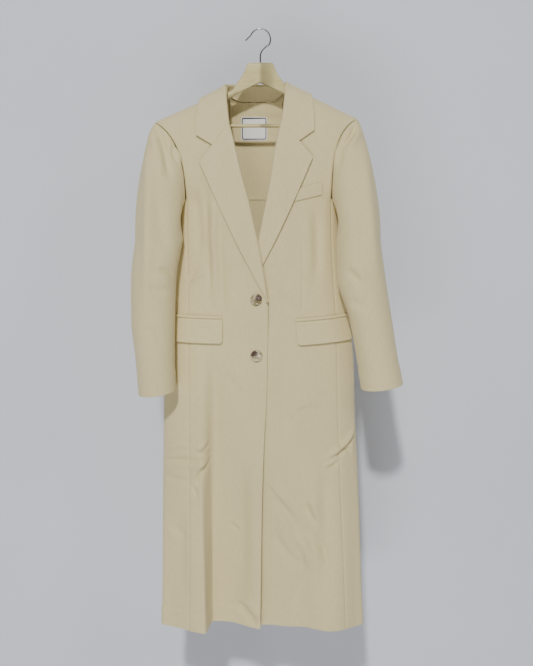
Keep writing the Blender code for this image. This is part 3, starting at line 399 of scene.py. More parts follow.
def front_y(side, x, z):
    """Depth of the front at a place, with the shoulder's arch."""
    if z <= CHEST_Z:
        return plane_y(side, "front", x, z)
    top = shoulder_z(x)
    drop = clamp((top - z) / (top - CHEST_Z))
    plane = plane_y(side, "front", x, z, drop)
    return SHOULDER_SEAM_Y + (plane - SHOULDER_SEAM_Y) * arch_share(drop)


def front_point(side, x, along):
    """along: 0 at the hem, 1 at the chest, 2 at the shoulder seam."""
    if along <= 1.0:
        z = mix(HEM_Z, CHEST_Z, along)
        return Vector((x + COAT_SHIFT, plane_y(side, "front", x, z), z))
    drop = drop_share(along)
    z = mix(shoulder_z(x), CHEST_Z, drop)
    plane = plane_y(side, "front", x, z, drop)
    y = SHOULDER_SEAM_Y + (plane - SHOULDER_SEAM_Y) * arch_share(drop)
    return Vector((x + COAT_SHIFT, y, z))


def back_top(x):
    """Where the back ends: the back of the neck, and the shoulder seam beside it."""
    neck = clamp(abs(x) / NECK_HALF)
    y = mix(SHOULDER_SEAM_Y, BACK_NECK_Y, (1.0 - neck ** 2.2) ** (1.0 / 2.2))
    z = mix(shoulder_z(math.copysign(max(abs(x), NECK_HALF), x)), BACK_NECK_Z,
            ease(1.0 - neck ** BACK_NECK_FLATNESS))
    return y + SEAM, z


def back_y(side, x, z):
    """Depth of the back at a place, with the shoulder's arch."""
    if z <= CHEST_Z:
        return plane_y(side, "back", x, z)
    top_y, top_z = back_top(x)
    drop = clamp((top_z - z) / (top_z - CHEST_Z))
    return mix(top_y, plane_y(side, "back", x, z, drop), arch_share(drop))


def back_point(side, x, along):
    if along <= 1.0:
        z = mix(HEM_Z, CHEST_Z, along)
        return Vector((x + COAT_SHIFT, plane_y(side, "back", x, z), z))
    drop = drop_share(along)
    top_y, top_z = back_top(x)
    z = mix(top_z, CHEST_Z, drop)
    plane = plane_y(side, "back", x, z, drop)
    return Vector((x + COAT_SHIFT, mix(top_y, plane, arch_share(drop)), z))


def outer_x(side, along):
    """Side seam of the front or back up to the chest, and then the armhole's edge."""
    sign = SIDES[side]
    if along <= 1.0:
        return sign * BODY_TRACKS["seam_" + side](mix(HEM_Z, CHEST_Z, along))
    rise = 1.0 - drop_share(along)
    armhole = ARMHOLES[side]
    return sign * (armhole.x + armhole.reach * rise ** armhole.curve)


def inner_x(side, along):
    """Front edge, then the roll line, then the neck, up to the shoulder seam."""
    if along <= 1.0:
        z = mix(HEM_Z, CHEST_Z, along)
        fold = ROLL * ease((z - ROLL_FOOT_Z) / ROLL_FOOT_RISE)
        return EDGE_TRACKS[side](z) + SIDES[side] * fold
    drop = drop_share(along)
    return SIDES[side] * (ROLL_TRACKS[side](drop) + ROLL * ease(drop / GORGE_DROP))


def front_surface(side):
    def point(across, along):
        edge = inner_x(side, along)
        seam = outer_x(side, along) - SIDES[side] * SEAM / 2
        return front_point(side, mix(edge, seam, across), along)
    return point


def section_angle(side, x, z):
    share = clamp(abs(x) / half_width(side, z), 0.0, 0.9999)
    return math.degrees(math.asin(share ** (ROUNDNESS / 2.0)))


def side_surface(side):
    """Round the body's side, from the front's seam to the back's."""
    def point(across, along):
        z = mix(HEM_Z, CHEST_Z, along)
        seam = abs(outer_x(side, along)) + SEAM / 2
        start = section_angle(side, seam, z)
        angle = mix(start, 180.0 - start, across)
        shape = math.sin(math.radians(angle)) ** (2.0 / ROUNDNESS)
        x = SIDES[side] * half_width(side, z) * shape
        face = "front" if angle < 90.0 else "back"
        return Vector((x + COAT_SHIFT, plane_y(side, face, x, z), z))
    return point


def back_surface(side):
    def point(across, along):
        seam = outer_x(side, along) - SIDES[side] * SEAM / 2
        middle = SIDES[side] * SEAM / 2
        return back_point(side, mix(seam, middle, across), along)
    return point

# ---------------------------------------------------------------- sleeves


def bezier(start, lead, pull, end, share):
    rest = 1.0 - share
    return (start * rest ** 3 + lead * 3 * rest * rest * share
            + pull * 3 * rest * share * share + end * share ** 3)


def armhole_point(side, around):
    """The armhole's loop: shoulder tip, front edge, underarm, back edge."""
    first = ARMHOLE_FRONT_END
    if around <= first:
        along = 2.0 - around / first
        return front_point(side, outer_x(side, along), along)
    if around < 1.0 - first:
        return side_surface(side)((around - first) / (1.0 - 2.0 * first), 1.0)
    along = 1.0 + (around - (1.0 - first)) / first
    return back_point(side, outer_x(side, along), along)


def armhole_lead(side, around):
    """The way the cloth runs on over the armhole's edge."""
    from_tip = min(around, 1.0 - around)
    ahead = LEAD_TRACKS["ahead"](from_tip) * (-1.0 if around < 0.5 else LEAD_BEHIND)
    out = SIDES[side] * LEAD_TRACKS["out"](from_tip)
    return Vector((out, ahead, LEAD_TRACKS["up"](from_tip))).normalized()


def sleeve_ring(side, around, z):
    tracks = SLEEVE_TRACKS[side]
    outer = tracks["outer"](z)
    inner = tracks["inner"](z)
    if around < 0.5:
        around += SLEEVE_TWIST * math.sin(2.0 * math.pi * around)
    turn = 2.0 * math.pi * around
    out = math.cos(turn)
    half = (outer - inner) / 2.0
    x = SIDES[side] * ((outer + inner) / 2.0 + half * out)
    y = tracks["middle_y"](z) - tracks["half_depth"](z) * math.sin(turn)
    return Vector((x + COAT_SHIFT, y, z + tracks["tilt"](z) * out))


def sleeve_surface(side, first, last):
    """Two parts: down from the armhole to the head's ring, and from there to the cuff."""
    cuff_z = SLEEVES[side][0].z

    def point(across, along):
        around = mix(first, last, across) % 1.0
        if along > 1.0:
            return sleeve_ring(side, around, mix(SLEEVE_HEAD_Z, cuff_z, along - 1.0))
        from_tip = min(around, 1.0 - around)
        lead = armhole_lead(side, around)
        start = armhole_point(side, around) + lead * CURVED_SEAM
        start.x += SIDES[side] * LEAD_TRACKS["proud"](from_tip)
        end = sleeve_ring(side, around, SLEEVE_HEAD_Z)
        reach = LEAD_TRACKS["reach"](from_tip)
        room = SLEEVE_EASE * ease(2.0 * from_tip)
        room += SLEEVE_BACK_EASE * math.sin(math.pi * clamp(2.0 * (around - SLEEVE_SEAMS[0]))) ** 2
        pull = Vector((SIDES[side] * room, 0.0, LEAD_TRACKS["hang"](from_tip)))
        return bezier(start, start + lead * reach, end + pull, end, along)
    return point

# ---------------------------------------------------------------- lapels and collar


def roll_point(side, share):
    """Along the front's roll edge: 0 at the lapel's foot, 1 where the gorge seam starts."""
    foot = LAPELS[side].foot_z - LAPEL_FOOT_DROP
    gorge = mix(shoulder_z(SIDES[side] * GORGE_X), CHEST_Z, GORGE_DROP)
    z = mix(foot, gorge, share)
    if z <= CHEST_Z:
        return inner_x(side, (z - HEM_Z) / (CHEST_Z - HEM_Z)), z
    x = 0.0
    for _ in range(5):
        top = shoulder_z(x)
        x = inner_x(side, along_of((top - z) / (top - CHEST_Z)))
    return x, z


def lapel_y(side, x, z, share, along):
    """Depth of the lapel's flat; share is 0 at the fold and 1 at the edge."""
    lift = LAPEL_LIFT * share ** 2 * ease(4.0 * along - 0.6)
    return front_y(side, x, z) - ROLL - ROLL_GAP - lift


def lapel_surface(side):
    """A fold round the front's roll edge, and then the lapel's flat."""
    lapel = LAPELS[side]
    sign = SIDES[side]

    def point(across, along):
        roll_x, roll_z = roll_point(side, along)
        roll_x -= sign * CURVED_SEAM
        if across < COLLAR_TURN:
            angle = math.pi * across / COLLAR_TURN
            base = front_y(side, roll_x, roll_z) - ROLL_GAP
            x = roll_x - sign * ROLL * math.sin(angle)
            return Vector((x + COAT_SHIFT, base + ROLL * math.cos(angle), roll_z))
        share = (across - COLLAR_TURN) / (1.0 - COLLAR_TURN)
        belly = lapel.belly * math.sin(math.pi * along)
        edge_x = mix(lapel.foot_x, lapel.tip_x, along) + sign * belly
        edge_z = mix(lapel.foot_z, lapel.tip_z, along)
        x = mix(roll_x, edge_x, share)
        z = mix(roll_z, edge_z, share)
        return Vector((x + COAT_SHIFT, lapel_y(side, x, z, share, along), z))
    return point


def collar_frame(around):
    """The neck seam, the fold's centre and its two directions at a place round the collar.

    around: -1 at the right gorge, -0.5 at the right shoulder, 0 at the back, 1 at the left gorge.
    The first direction points from the fold's centre to the stand, the second to the ridge.
    """
    side = "right" if around < 0.0 else "left"
    sign = SIDES[side]
    away = abs(around)
    side_x = sign * (RIDGE_X + ROLL)
    side_z = RIDGE_Z[side] - ROLL
    if away <= 0.5:
        turn = math.pi * around
        x = NECK_HALF * math.sin(turn)
        y, z = back_top(x)
        neck = Vector((x + COAT_SHIFT, y, z))
        inwards = Vector((-math.sin(turn), -math.cos(turn), 0.0))
        centre_y = mix(RIDGE_SIDE_Y, RIDGE_BACK_Y + ROLL, math.cos(turn))
        centre_z = mix(side_z, RIDGE_BACK_Z - ROLL, ease(math.cos(turn)))
        centre = Vector((abs(side_x) * math.sin(turn) + COAT_SHIFT, centre_y, centre_z))
        return neck, centre, inwards, Vector((0.0, 0.0, 1.0))
    front = (away - 0.5) / 0.5
    along = along_of(GORGE_DROP * front ** 1.5)
    neck = front_point(side, inner_x(side, along), along)
    end_x, end_z = roll_point(side, 1.0)
    end_x -= sign * CURVED_SEAM
    end_z += GORGE_GAP
    end_y = front_y(side, end_x, end_z) - ROLL_GAP
    turn = 0.5 * math.pi * front
    x = mix(side_x, end_x, front ** COLLAR_HANG)
    y = mix(RIDGE_SIDE_Y, end_y, math.sin(turn))
    z = mix(side_z, end_z, 1.0 - math.cos(turn))
    slope = math.atan2((side_z - end_z) * math.sin(turn), (RIDGE_SIDE_Y - end_y) * math.cos(turn))
    inwards = Vector((-sign, 0.0, 0.0))
    outwards = Vector((0.0, -math.sin(slope), math.cos(slope)))
    tip = 0.5 * math.pi * ease(front)
    to_stand = inwards * math.cos(tip) - outwards * math.sin(tip)
    to_ridge = outwards * math.cos(tip) + inwards * math.sin(tip)
    return neck, Vector((x + COAT_SHIFT, y, z)), to_stand, to_ridge


def along_of(drop):
    """The place between chest and shoulder seam that has this share of the drop."""
    rise = (1.0 - clamp(drop, 0.0005, 1.0)) ** (SHOULDER_ROUNDNESS / 2.0)
    return 1.0 + math.degrees(math.asin(rise)) / 90.0


def lifted(side, face, x, along, lift):
    """A point held off the front or the back by a lift."""
    place = front_point if face == "front" else back_point
    step = 0.002
    here = place(side, x, along)
    across = place(side, x + step, along) - here
    up = here - place(side, x, along - 0.02)
    normal = across.cross(up).normalized()
    if face == "back":
        normal.negate()
    return here + normal * lift


def collar_edge(around):
    """Outer edge of the collar's fall."""
    side = "right" if around < 0.0 else "left"
    sign = SIDES[side]
    away = abs(around)
    if away <= 0.5:
        turn = math.pi * away
        x = sign * COLLAR_SIDE_X * math.sin(turn) ** 0.8
        z = mix(shoulder_z(sign * COLLAR_SIDE_X), COLLAR_BACK_Z, math.cos(turn) ** 0.6)
        top_z = back_top(x)[1]
        return lifted(side, "back", x, along_of((top_z - z) / (top_z - CHEST_Z)), COLLAR_LIFT)
    front = (away - 0.5) / 0.5
    tip_x, tip_z = COLLAR_TIP[side]
    top = shoulder_z(tip_x)
    tip_along = along_of((top - tip_z) / (top - CHEST_Z))
    x = mix(sign * COLLAR_SIDE_X, tip_x, ease(front))
    return lifted(side, "front", x, mix(along_of(0.0), tip_along, front), COLLAR_LIFT)


def notch_point(side):
    """The inner corner of the notch, on the lapel's top line."""
    roll_x, roll_z = roll_point(side, 1.0)
    lapel = LAPELS[side]
    x = mix(roll_x, lapel.tip_x, NOTCH_SHARE)
    z = mix(roll_z, lapel.tip_z, NOTCH_SHARE) + GORGE_GAP
    return Vector((x + COAT_SHIFT, lapel_y(side, x, z, NOTCH_SHARE, 1.0), z))


def collar_fall(across, along):
    """across: from the stand's top over the fold to the outer edge; along: right to left."""
    side = "right" if along < 0.0 else "left"
    centre, to_stand, to_ridge = collar_frame(along)[1:]
    if across < COLLAR_TURN:
        angle = math.pi * across / COLLAR_TURN
        return centre + (to_stand * math.cos(angle) + to_ridge * math.sin(angle)) * ROLL
    share = (across - COLLAR_TURN) / (1.0 - COLLAR_TURN)
    start = centre - to_stand * ROLL
    edge = collar_edge(along)
    front = clamp((abs(along) - 0.5) / 0.5)
    middle = (start + edge) / 2.0
    middle = middle.lerp(notch_point(side), ease((front - 0.55) / 0.45))
    point = start.lerp(middle, share * 2.0) if share < 0.5 else middle.lerp(edge, share * 2.0 - 1.0)
    x = point.x - COAT_SHIFT
    if front > 0.0 and point.z < shoulder_z(x):
        point.y = min(point.y, front_y(side, x, point.z) - ROLL - ROLL_GAP)
    elif front == 0.0 and point.z < back_top(x)[1]:
        point.y = max(point.y, back_y(side, x, point.z) + ROLL + ROLL_GAP)
    return point


def collar_stand(across, along):
    """across: from the neck seam up to the fold; the face that shows is the inner one."""
    neck, centre, to_stand, to_ridge = collar_frame(along)
    foot = neck + to_stand * (WALL + CURVED_SEAM) + to_ridge * SEAM
    head = centre + to_stand * ROLL - to_ridge * SEAM
    reach = to_ridge * (head - foot).length / 3.0
    return bezier(foot, foot + reach, head - reach, head, across)

# ---------------------------------------------------------------- pockets and inside


def pocket_surface(flap):
    """A flap, lip or welt: a four-sided piece on the front, with its lower corners rounded."""
    sign = SIDES[flap.side]

    def point(across, along):
        width = flap.x_out - flap.x_in
        from_edge = clamp(min(across, 1.0 - across)) * width
        rise = 0.0
        if from_edge < flap.corner:
            rise = flap.corner - math.sqrt(flap.corner ** 2 - (flap.corner - from_edge) ** 2)
        foot = mix(flap.z_foot_in, flap.z_foot_out, across) + rise
        z = mix(foot, mix(flap.z_in, flap.z_out, across), along)
        x = sign * (mix(flap.x_in, flap.x_out, across) + flap.lean * (1.0 - along))
        return Vector((x + COAT_SHIFT, front_y(flap.side, x, z), z))
    return point


def inside_back(half):
    """The back's surface from side to side; its walls are moved inwards."""
    def point(across, along):
        x = mix(-half, half, across)
        return back_point("left" if x > 0.0 else "right", x, along)
    return point


def label_surface(across, along):
    low_x, high_x, low_z, high_z = LABEL
    x, z = mix(low_x, high_x, across), mix(low_z, high_z, along)
    return Vector((x + COAT_SHIFT, back_y("left" if x > 0.0 else "right", x, z), z))

# ---------------------------------------------------------------- creases, as seen from outside

# one row a crease, in the coat's frame: from x, z to x_end, z_end, bowed sideways by bow.
# depth: + is a trough, - stands out; lip is the side on which the cloth lifts beside it.
Crease = namedtuple("Crease", "x z x_end z_end bow width depth lip")
CREASE_ROWS = {
    "sleeve_right": [
        (-0.2040, -0.188, -0.1750, -0.300, 0.006, 0.0075, 0.0086, -1),
        (-0.1650, -0.226, -0.1580, -0.266, -0.003, 0.0060, 0.0069, 1),
        (-0.2160, -0.200, -0.2240, -0.560, 0.004, 0.0110, -0.0086, 0),
        (-0.1960, -0.474, -0.1660, -0.493, 0.004, 0.0060, 0.0052, -1),
        (-0.2150, -0.505, -0.1780, -0.520, -0.006, 0.0090, 0.0040, 1),
        (-0.2250, -0.590, -0.1860, -0.634, 0.005, 0.0100, 0.0034, 1),
        (-0.1930, -0.330, -0.1780, -0.455, -0.004, 0.0120, 0.0040, 0),
    ],
    "sleeve_left": [
        (0.2030, -0.190, 0.1740, -0.232, 0.003, 0.0050, 0.0097, 1),
        (0.1760, -0.226, 0.1660, -0.275, -0.003, 0.0070, 0.0052, -1),
        (0.2200, -0.230, 0.2480, -0.500, -0.005, 0.0110, -0.0063, 0),
        (0.1800, -0.474, 0.2130, -0.508, 0.004, 0.0080, 0.0052, 1),
        (0.1900, -0.535, 0.2300, -0.548, -0.005, 0.0100, 0.0034, -1),
        (0.2060, -0.320, 0.2130, -0.450, 0.004, 0.0130, 0.0037, 0),
    ],
    "front": [
        # both fronts, above the pockets
        (-0.1040, -0.300, -0.0970, -0.545, 0.003, 0.0090, 0.0067, 1),
        (-0.0760, -0.366, -0.0680, -0.566, -0.002, 0.0080, 0.0056, -1),
        (-0.1240, -0.320, -0.1180, -0.470, 0.004, 0.0120, 0.0060, 1),
        (-0.1340, -0.513, -0.1060, -0.482, 0.003, 0.0050, -0.0053, 1),
        (0.1200, -0.350, 0.1240, -0.520, 0.004, 0.0110, 0.0045, -1),
        (0.0500, -0.520, 0.0620, -0.575, 0.003, 0.0100, 0.0033, 1),
        # below the pockets, the wearer's right
        (-0.2080, -0.904, -0.0930, -0.892, 0.003, 0.0055, 0.0053, -1),
        (-0.2000, -0.886, -0.1400, -0.861, 0.010, 0.0060, -0.0039, 0),
        (-0.1280, -0.876, -0.0990, -0.855, -0.002, 0.0050, 0.0046, 1),
        (-0.1300, -0.882, -0.0940, -0.880, 0.005, 0.0050, 0.0034, 1),
        (-0.1290, -0.947, -0.0930, -0.893, 0.008, 0.0055, 0.0064, 1),
        (-0.1390, -0.946, -0.1280, -0.984, 0.002, 0.0050, 0.0030, -1),
        (-0.1970, -0.936, -0.1410, -0.938, -0.003, 0.0080, 0.0025, 1),
        (-0.0900, -0.630, -0.0900, -1.020, 0.002, 0.0140, 0.0069, -1),
        (-0.0330, -0.880, -0.0340, -1.215, 0.003, 0.0150, 0.0039, 1),
        (-0.0580, -1.044, -0.0400, -1.062, 0.002, 0.0050, 0.0030, 1),
        (-0.0480, -1.232, 0.0030, -1.284, 0.004, 0.0110, 0.0057, 1),
        (-0.1900, -1.050, -0.1500, -1.078, 0.005, 0.0090, 0.0025, -1),
        (-0.0700, -0.700, -0.0300, -0.760, 0.005, 0.0110, 0.0025, 1),
        (-0.1700, -0.990, -0.1620, -1.240, 0.003, 0.0140, 0.0030, 1),
        # below the pockets, the wearer's left
        (0.2160, -0.829, 0.1480, -0.888, 0.005, 0.0050, -0.0056, 0),
        (0.2180, -0.836, 0.1560, -0.894, 0.006, 0.0055, 0.0049, -1),
        (0.1500, -0.912, 0.1780, -0.896, -0.002, 0.0045, 0.0054, 1),
        (0.2130, -0.846, 0.2150, -0.905, 0.004, 0.0050, 0.0040, 1),
        (0.1830, -0.866, 0.2070, -0.884, 0.003, 0.0055, 0.0042, 1),
        (0.0700, -0.802, 0.1530, -0.812, 0.030, 0.0080, 0.0019, 1),
        (0.0160, -0.925, 0.1040, -1.031, -0.003, 0.0055, -0.0045, 0),
        (0.0390, -0.980, 0.0950, -1.075, 0.006, 0.0090, 0.0042, -1),
        (0.1060, -0.985, 0.1340, -1.040, -0.003, 0.0070, 0.0051, 1),
        (0.1180, -1.050, 0.1590, -1.134, 0.004, 0.0080, 0.0051, -1),
        (0.0720, -1.072, 0.1050, -1.142, 0.005, 0.0080, 0.0042, 1),
        (0.0330, -1.050, 0.1150, -1.150, -0.010, 0.0100, 0.0036, 1),
        (0.1430, -0.890, 0.1460, -1.240, 0.004, 0.0140, 0.0066, -1),
        (0.0960, -1.160, 0.0780, -1.230, 0.003, 0.0090, 0.0030, 1),
        (0.0470, -0.690, 0.0600, -0.860, 0.006, 0.0160, 0.0036, 1),
    ],
    "back": [                    # doesn't show, creased in the same way
        (-0.1800, -0.862, -0.0500, -0.880, 0.010, 0.0070, 0.0031, 1),
        (-0.0300, -0.905, 0.0700, -0.893, -0.008, 0.0070, 0.0029, -1),
        (0.0900, -0.870, 0.2000, -0.840, 0.009, 0.0070, 0.0035, 1),
        (0.0200, -0.955, 0.0900, -1.040, 0.006, 0.0090, 0.0023, 1),
        (-0.1100, -0.960, -0.0500, -1.030, -0.006, 0.0090, 0.0025, -1),
        (-0.1200, -0.280, -0.0900, -0.420, 0.007, 0.0120, 0.0025, 1),
        (0.1200, -0.275, 0.0950, -0.430, -0.007, 0.0120, 0.0025, -1),
        (-0.0800, -0.545, 0.0100, -0.560, 0.006, 0.0100, 0.0021, 1),
        (0.0300, -0.566, 0.1200, -0.548, -0.005, 0.0100, 0.0021, -1),
    ],
}
CREASES = {group: [Crease(*row) for row in rows] for group, rows in CREASE_ROWS.items()}

# sewn darts of the fronts, from the bust down to the pocket
Dart = namedtuple("Dart", "x z x_end z_end")
DARTS = [Dart(-0.0840, -0.404, -0.0810, -0.566), Dart(0.0950, -0.408, 0.0960, -0.572)]
DART_WIDTH = 0.0018
DART_DEPTH = 0.0014

CREASE_START = (-0.06, 0.30)                # a crease deepens over these shares of its length
CREASE_END = (0.62, 1.08)                   # and fades out over these
LIP_PLACE = 1.7                             # its lip lies this many widths beside it
LIP_SHARE = 0.6                             # and stands out by this share of its depth
WAVES = ((7.0, 0.0016), (19.0, 0.0005))     # the cloth's unevenness: waves to the metre, height
WAVE_STRETCH = 0.45                         # the waves are this much slower up and down
SEAM_DIP = 0.0011                           # cloth turns in at a seam by this
SEAM_REACH = 0.0024
HEM_TURN = 0.040                            # the hem's and cuffs' turned-up cloth
HEM_STEP = 0.0008
FLAP_SWING = 0.0042                         # a flap's lower edge stands off the front by this
COLLAR_ROUNDS = 8                           # how often the collar's rows are evened out
LIP_ROLL = 0.0022                           # a pocket's lip is rounded out by this


def smooth_step(values, low, high):
    share = np.clip((values - low) / (high - low), 0.0, 1.0)
    return share * share * (3.0 - 2.0 * share)


def crease_heights(points, normals, group):
    """How far the creases of a group push each point out along its normal."""
    x = points[..., 0] - COAT_SHIFT
    z = points[..., 2]
    heights = np.zeros(x.shape)
    for crease in CREASES.get(group, ()):
        run_x, run_z = crease.x_end - crease.x, crease.z_end - crease.z
        length = math.hypot(run_x, run_z)
        run_x, run_z = run_x / length, run_z / length
        along = ((x - crease.x) * run_x + (z - crease.z) * run_z) / length
        aside = (z - crease.z) * run_x - (x - crease.x) * run_z
        inside = np.clip(along, 0.0, 1.0)
        aside = (aside - crease.bow * 4.0 * inside * (1.0 - inside)) / crease.width
        fade = smooth_step(along, *CREASE_START) * (1.0 - smooth_step(along, *CREASE_END))
        trough = np.exp(-aside ** 2)
        lip = np.exp(-(aside - LIP_PLACE * crease.lip) ** 2 / 1.8) * abs(crease.lip)
        heights -= crease.depth * fade * (trough - LIP_SHARE * lip)
    facing = -normals[..., 1] if group != "back" else normals[..., 1]
    return heights * smooth_step(facing, 0.05, 0.45)


def dart_heights(points):
    """The sewn line of each dart, a narrow trough."""
    x = points[..., 0] - COAT_SHIFT
    z = points[..., 2]
    heights = np.zeros(x.shape)
    for dart in DARTS:
        along = np.clip((z - dart.z) / (dart.z_end - dart.z), 0.0, 1.0)
        aside = (x - mix(dart.x, dart.x_end, along)) / DART_WIDTH
        fade = smooth_step((dart.z - z), 0.0, 0.02) * smooth_step(z - dart.z_end, 0.0, 0.01)
        heights -= DART_DEPTH * fade * np.exp(-aside ** 2)
    return heights


def wave_heights(points):
    """The unevenness of hanging cloth, from smooth noise in space."""
    heights = np.zeros(points.shape[:2])
    for frequency, height in WAVES:
        for index in np.ndindex(heights.shape):
            x, y, z = points[index]
            at = Vector((x * frequency, y * frequency, z * frequency * WAVE_STRETCH))
            heights[index] += height * noise.noise(at)
    return heights

# ---------------------------------------------------------------- thin shells of cloth


def dense(count, length, first=True, last=True):
    """Shares from 0 to 1, closer together towards the edges that turn in or end."""
    count = max(2, int(count * (1.0)))
    shares = set(spread(0.0, 1.0, count))
    for distance in (0.0005, 0.0011, 0.0020, 0.0035):
        if first:
            shares.add(distance / length)
        if last:
            shares.add(1.0 - distance / length)
    ordered = sorted(shares)
    kept = [ordered[0]]
    for share in ordered[1:]:
        if (share - kept[-1]) * length > 0.0004:
            kept.append(share)
    kept[-1] = 1.0
    return kept


def grid_of(surface, acrosses, alongs):
    return np.array([[tuple(surface(a, b)) for a in acrosses] for b in alongs])


def unit(vectors):
    return vectors / np.maximum(np.linalg.norm(vectors, axis=-1, keepdims=True), 1e-12)


def grid_normals(grid, facing):
    return unit(np.cross(np.gradient(grid, axis=1), np.gradient(grid, axis=0))) * facing


def from_edges(grid, axis):
    """Distance of each point from the grid's first and last edge along one axis."""
    steps = np.linalg.norm(np.diff(grid, axis=axis), axis=-1)
    zero = np.zeros_like(np.take(steps, [0], axis=axis))
    first = np.concatenate([zero, np.cumsum(steps, axis=axis)], axis=axis)
    return first, np.take(first, [-1], axis=axis) - first


SEWN, FREE, TURNED = "sewn", "free", "turned"        # what each edge of a piece is
SEWN_RIM = 0.15                # a sewn edge is rounded by this share of a free one


def shell(name, grid, normals, thickness, edges):
    """A closed thin body: the outer skin, the inner one, and a rim rounded at free edges.

    edges are the first and last across, then the first and last along.
    """
    rows, columns = grid.shape[:2]
    half = thickness / 2.0
    middle = grid - normals * half
    rim = [(0, j) for j in range(columns)] + [(i, columns - 1) for i in range(1, rows)]
    rim += [(rows - 1, j) for j in range(columns - 2, -1, -1)]
    rim += [(i, 0) for i in range(rows - 2, 0, -1)]
    outs = np.zeros((len(rim), 3))
    for k, (i, j) in enumerate(rim):
        sides = ((j == 0, (i, 1)), (j == columns - 1, (i, columns - 2)),
                 (i == 0, (1, j)), (i == rows - 1, (rows - 2, j)))
        for edge, (here, inner) in zip(edges, sides):
            if here:
                away = grid[i, j] - grid[inner]
                length = np.linalg.norm(away)
                if length > 1e-9:
                    outs[k] += away / length * (SEWN_RIM if edge == SEWN else 1.0)
        longest = np.linalg.norm(outs[k])
        if longest > 1.0:
            outs[k] /= longest
    vertices = [tuple(p) for p in grid.reshape(-1, 3)]
    inner_start = len(vertices)
    vertices += [tuple(p) for p in (grid - normals * thickness).reshape(-1, 3)]
    faces = []
    for i in range(rows - 1):
        for j in range(columns - 1):
            a = i * columns + j
            faces.append((a, a + 1, a + columns + 1, a + columns))
            b = inner_start + a
            faces.append((b, b + columns, b + columns + 1, b + 1))
    ring = [i * columns + j for i, j in rim]
    rings = [ring]
    for turn in (45.0, 90.0, 135.0):
        up, out = math.cos(math.radians(turn)), math.sin(math.radians(turn))
        start = len(vertices)
        for k, (i, j) in enumerate(rim):
            vertices.append(tuple(middle[i, j] + normals[i, j] * half * up + outs[k] * half * out))
        rings.append(list(range(start, start + len(rim))))
    rings.append([inner_start + index for index in ring])
    for one, two in zip(rings, rings[1:]):
        for k in range(len(ring)):
            m = (k + 1) % len(ring)
            faces.append((one[m], one[k], two[k], two[m]))
    data = bpy.data.meshes.new(name)
    data.from_pydata(vertices, [], faces)
    data.validate()
    mesh = bmesh.new()
    mesh.from_mesh(data)
    bmesh.ops.recalc_face_normals(mesh, faces=mesh.faces)
    if mesh.calc_volume(signed=True) < 0.0:
        bmesh.ops.reverse_faces(mesh, faces=mesh.faces)
    mesh.to_mesh(data)
    mesh.free()
    data.shade_smooth()
    return data


def linked(name, data):
    made = bpy.data.objects.new(name, data)
    bpy.context.scene.collection.objects.link(made)
    return made


def from_bmesh(name, mesh, recalculate=True):
    """A new mesh made of a bmesh, which is freed."""
    if recalculate:
        bmesh.ops.recalc_face_normals(mesh, faces=mesh.faces)
    data = bpy.data.meshes.new(name)
    mesh.to_mesh(data)
    mesh.free()
    return data


RECORD_SLOTS = {"label_border": "label_cloth", "sewing_thread": "coat_cloth"}


def put(name, data, slot, nodes):
    made = linked(name, data)
    if data.materials:
        data.materials[0] = MATERIALS[slot]
    else:
        data.materials.append(MATERIALS[slot])
    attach(made, "root")
    RECORD_SLOTS.get(slot, slot)
    if nodes:
        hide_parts(*nodes)
    return made


Cloth = namedtuple("Cloth", "node surface across along facing edges group slot thickness lift",
                   defaults=("coat_cloth", WALL, 0.0))


def make_cloth(piece, area):
    """Raise a piece's surface into waves, creases, seams and hems, and close it into a shell."""
    grid = grid_of(piece.surface, piece.across, piece.along)
    if piece.node == "collar_fall":    # no kink where it crosses the shoulder seams
        for _ in range(COLLAR_ROUNDS):
            grid[1:-1] = (grid[:-2] + 2.0 * grid[1:-1] + grid[2:]) / 4.0
    normals = grid_normals(grid, piece.facing)
    heights = np.full(grid.shape[:2], piece.lift)
    if piece.group == "inside":        # inside the back, whose waves and creases it follows
        heights -= wave_heights(grid) + crease_heights(grid, -normals, "back")
    elif piece.group:
        heights += wave_heights(grid)
        for group in piece.group.split():
            heights += crease_heights(grid, normals, group)
            if group == "front":
                heights += dart_heights(grid)
    low_across, high_across = from_edges(grid, 1)
    low_along, high_along = from_edges(grid, 0)
    for edge, distance in zip(piece.edges, (low_across, high_across, low_along, high_along)):
        if edge == SEWN:
            heights -= SEAM_DIP * np.exp(-(distance / SEAM_REACH) ** 2)
        if edge == TURNED:
            step = 1.0 - smooth_step(distance, HEM_TURN - 0.001, HEM_TURN + 0.004)
            groove = np.exp(-((distance - HEM_TURN - 0.004) / 0.003) ** 2)
            heights += HEM_STEP * step - 0.5 * HEM_STEP * groove
    down = np.linspace(1.0, 0.0, len(grid))[:, None]
    if piece.node.startswith("pocket_flap"):
        heights += FLAP_SWING * down ** 1.4
    if piece.node.startswith("pocket_lip"):
        heights += LIP_ROLL * np.sin(math.pi * down)
    grid = grid + normals * heights[..., None]
    normals = grid_normals(grid, piece.facing)
    data = shell("coat_" + piece.node, grid, normals, piece.thickness, piece.edges)
    made = put("coat_" + piece.node, data, piece.slot, [piece.node])

# ---------------------------------------------------------------- materials


def node(tree, kind, **values):
    made = tree.nodes.new(kind)
    for key, value in values.items():
        if hasattr(made, key):
            setattr(made, key, value)
        else:
            made.inputs[key.replace("_", " ")].default_value = value
    return made


def link(tree, one, output, two, socket):
    tree.links.new(one.outputs[output], two.inputs[socket])


def new_material(name, roughness, metallic=0.0):
    made = bpy.data.materials.new(name)
    made.use_nodes = True
    shader = made.node_tree.nodes["Principled BSDF"]
    shader.inputs["Roughness"].default_value = roughness
    shader.inputs["Metallic"].default_value = metallic
    return made, made.node_tree, shader


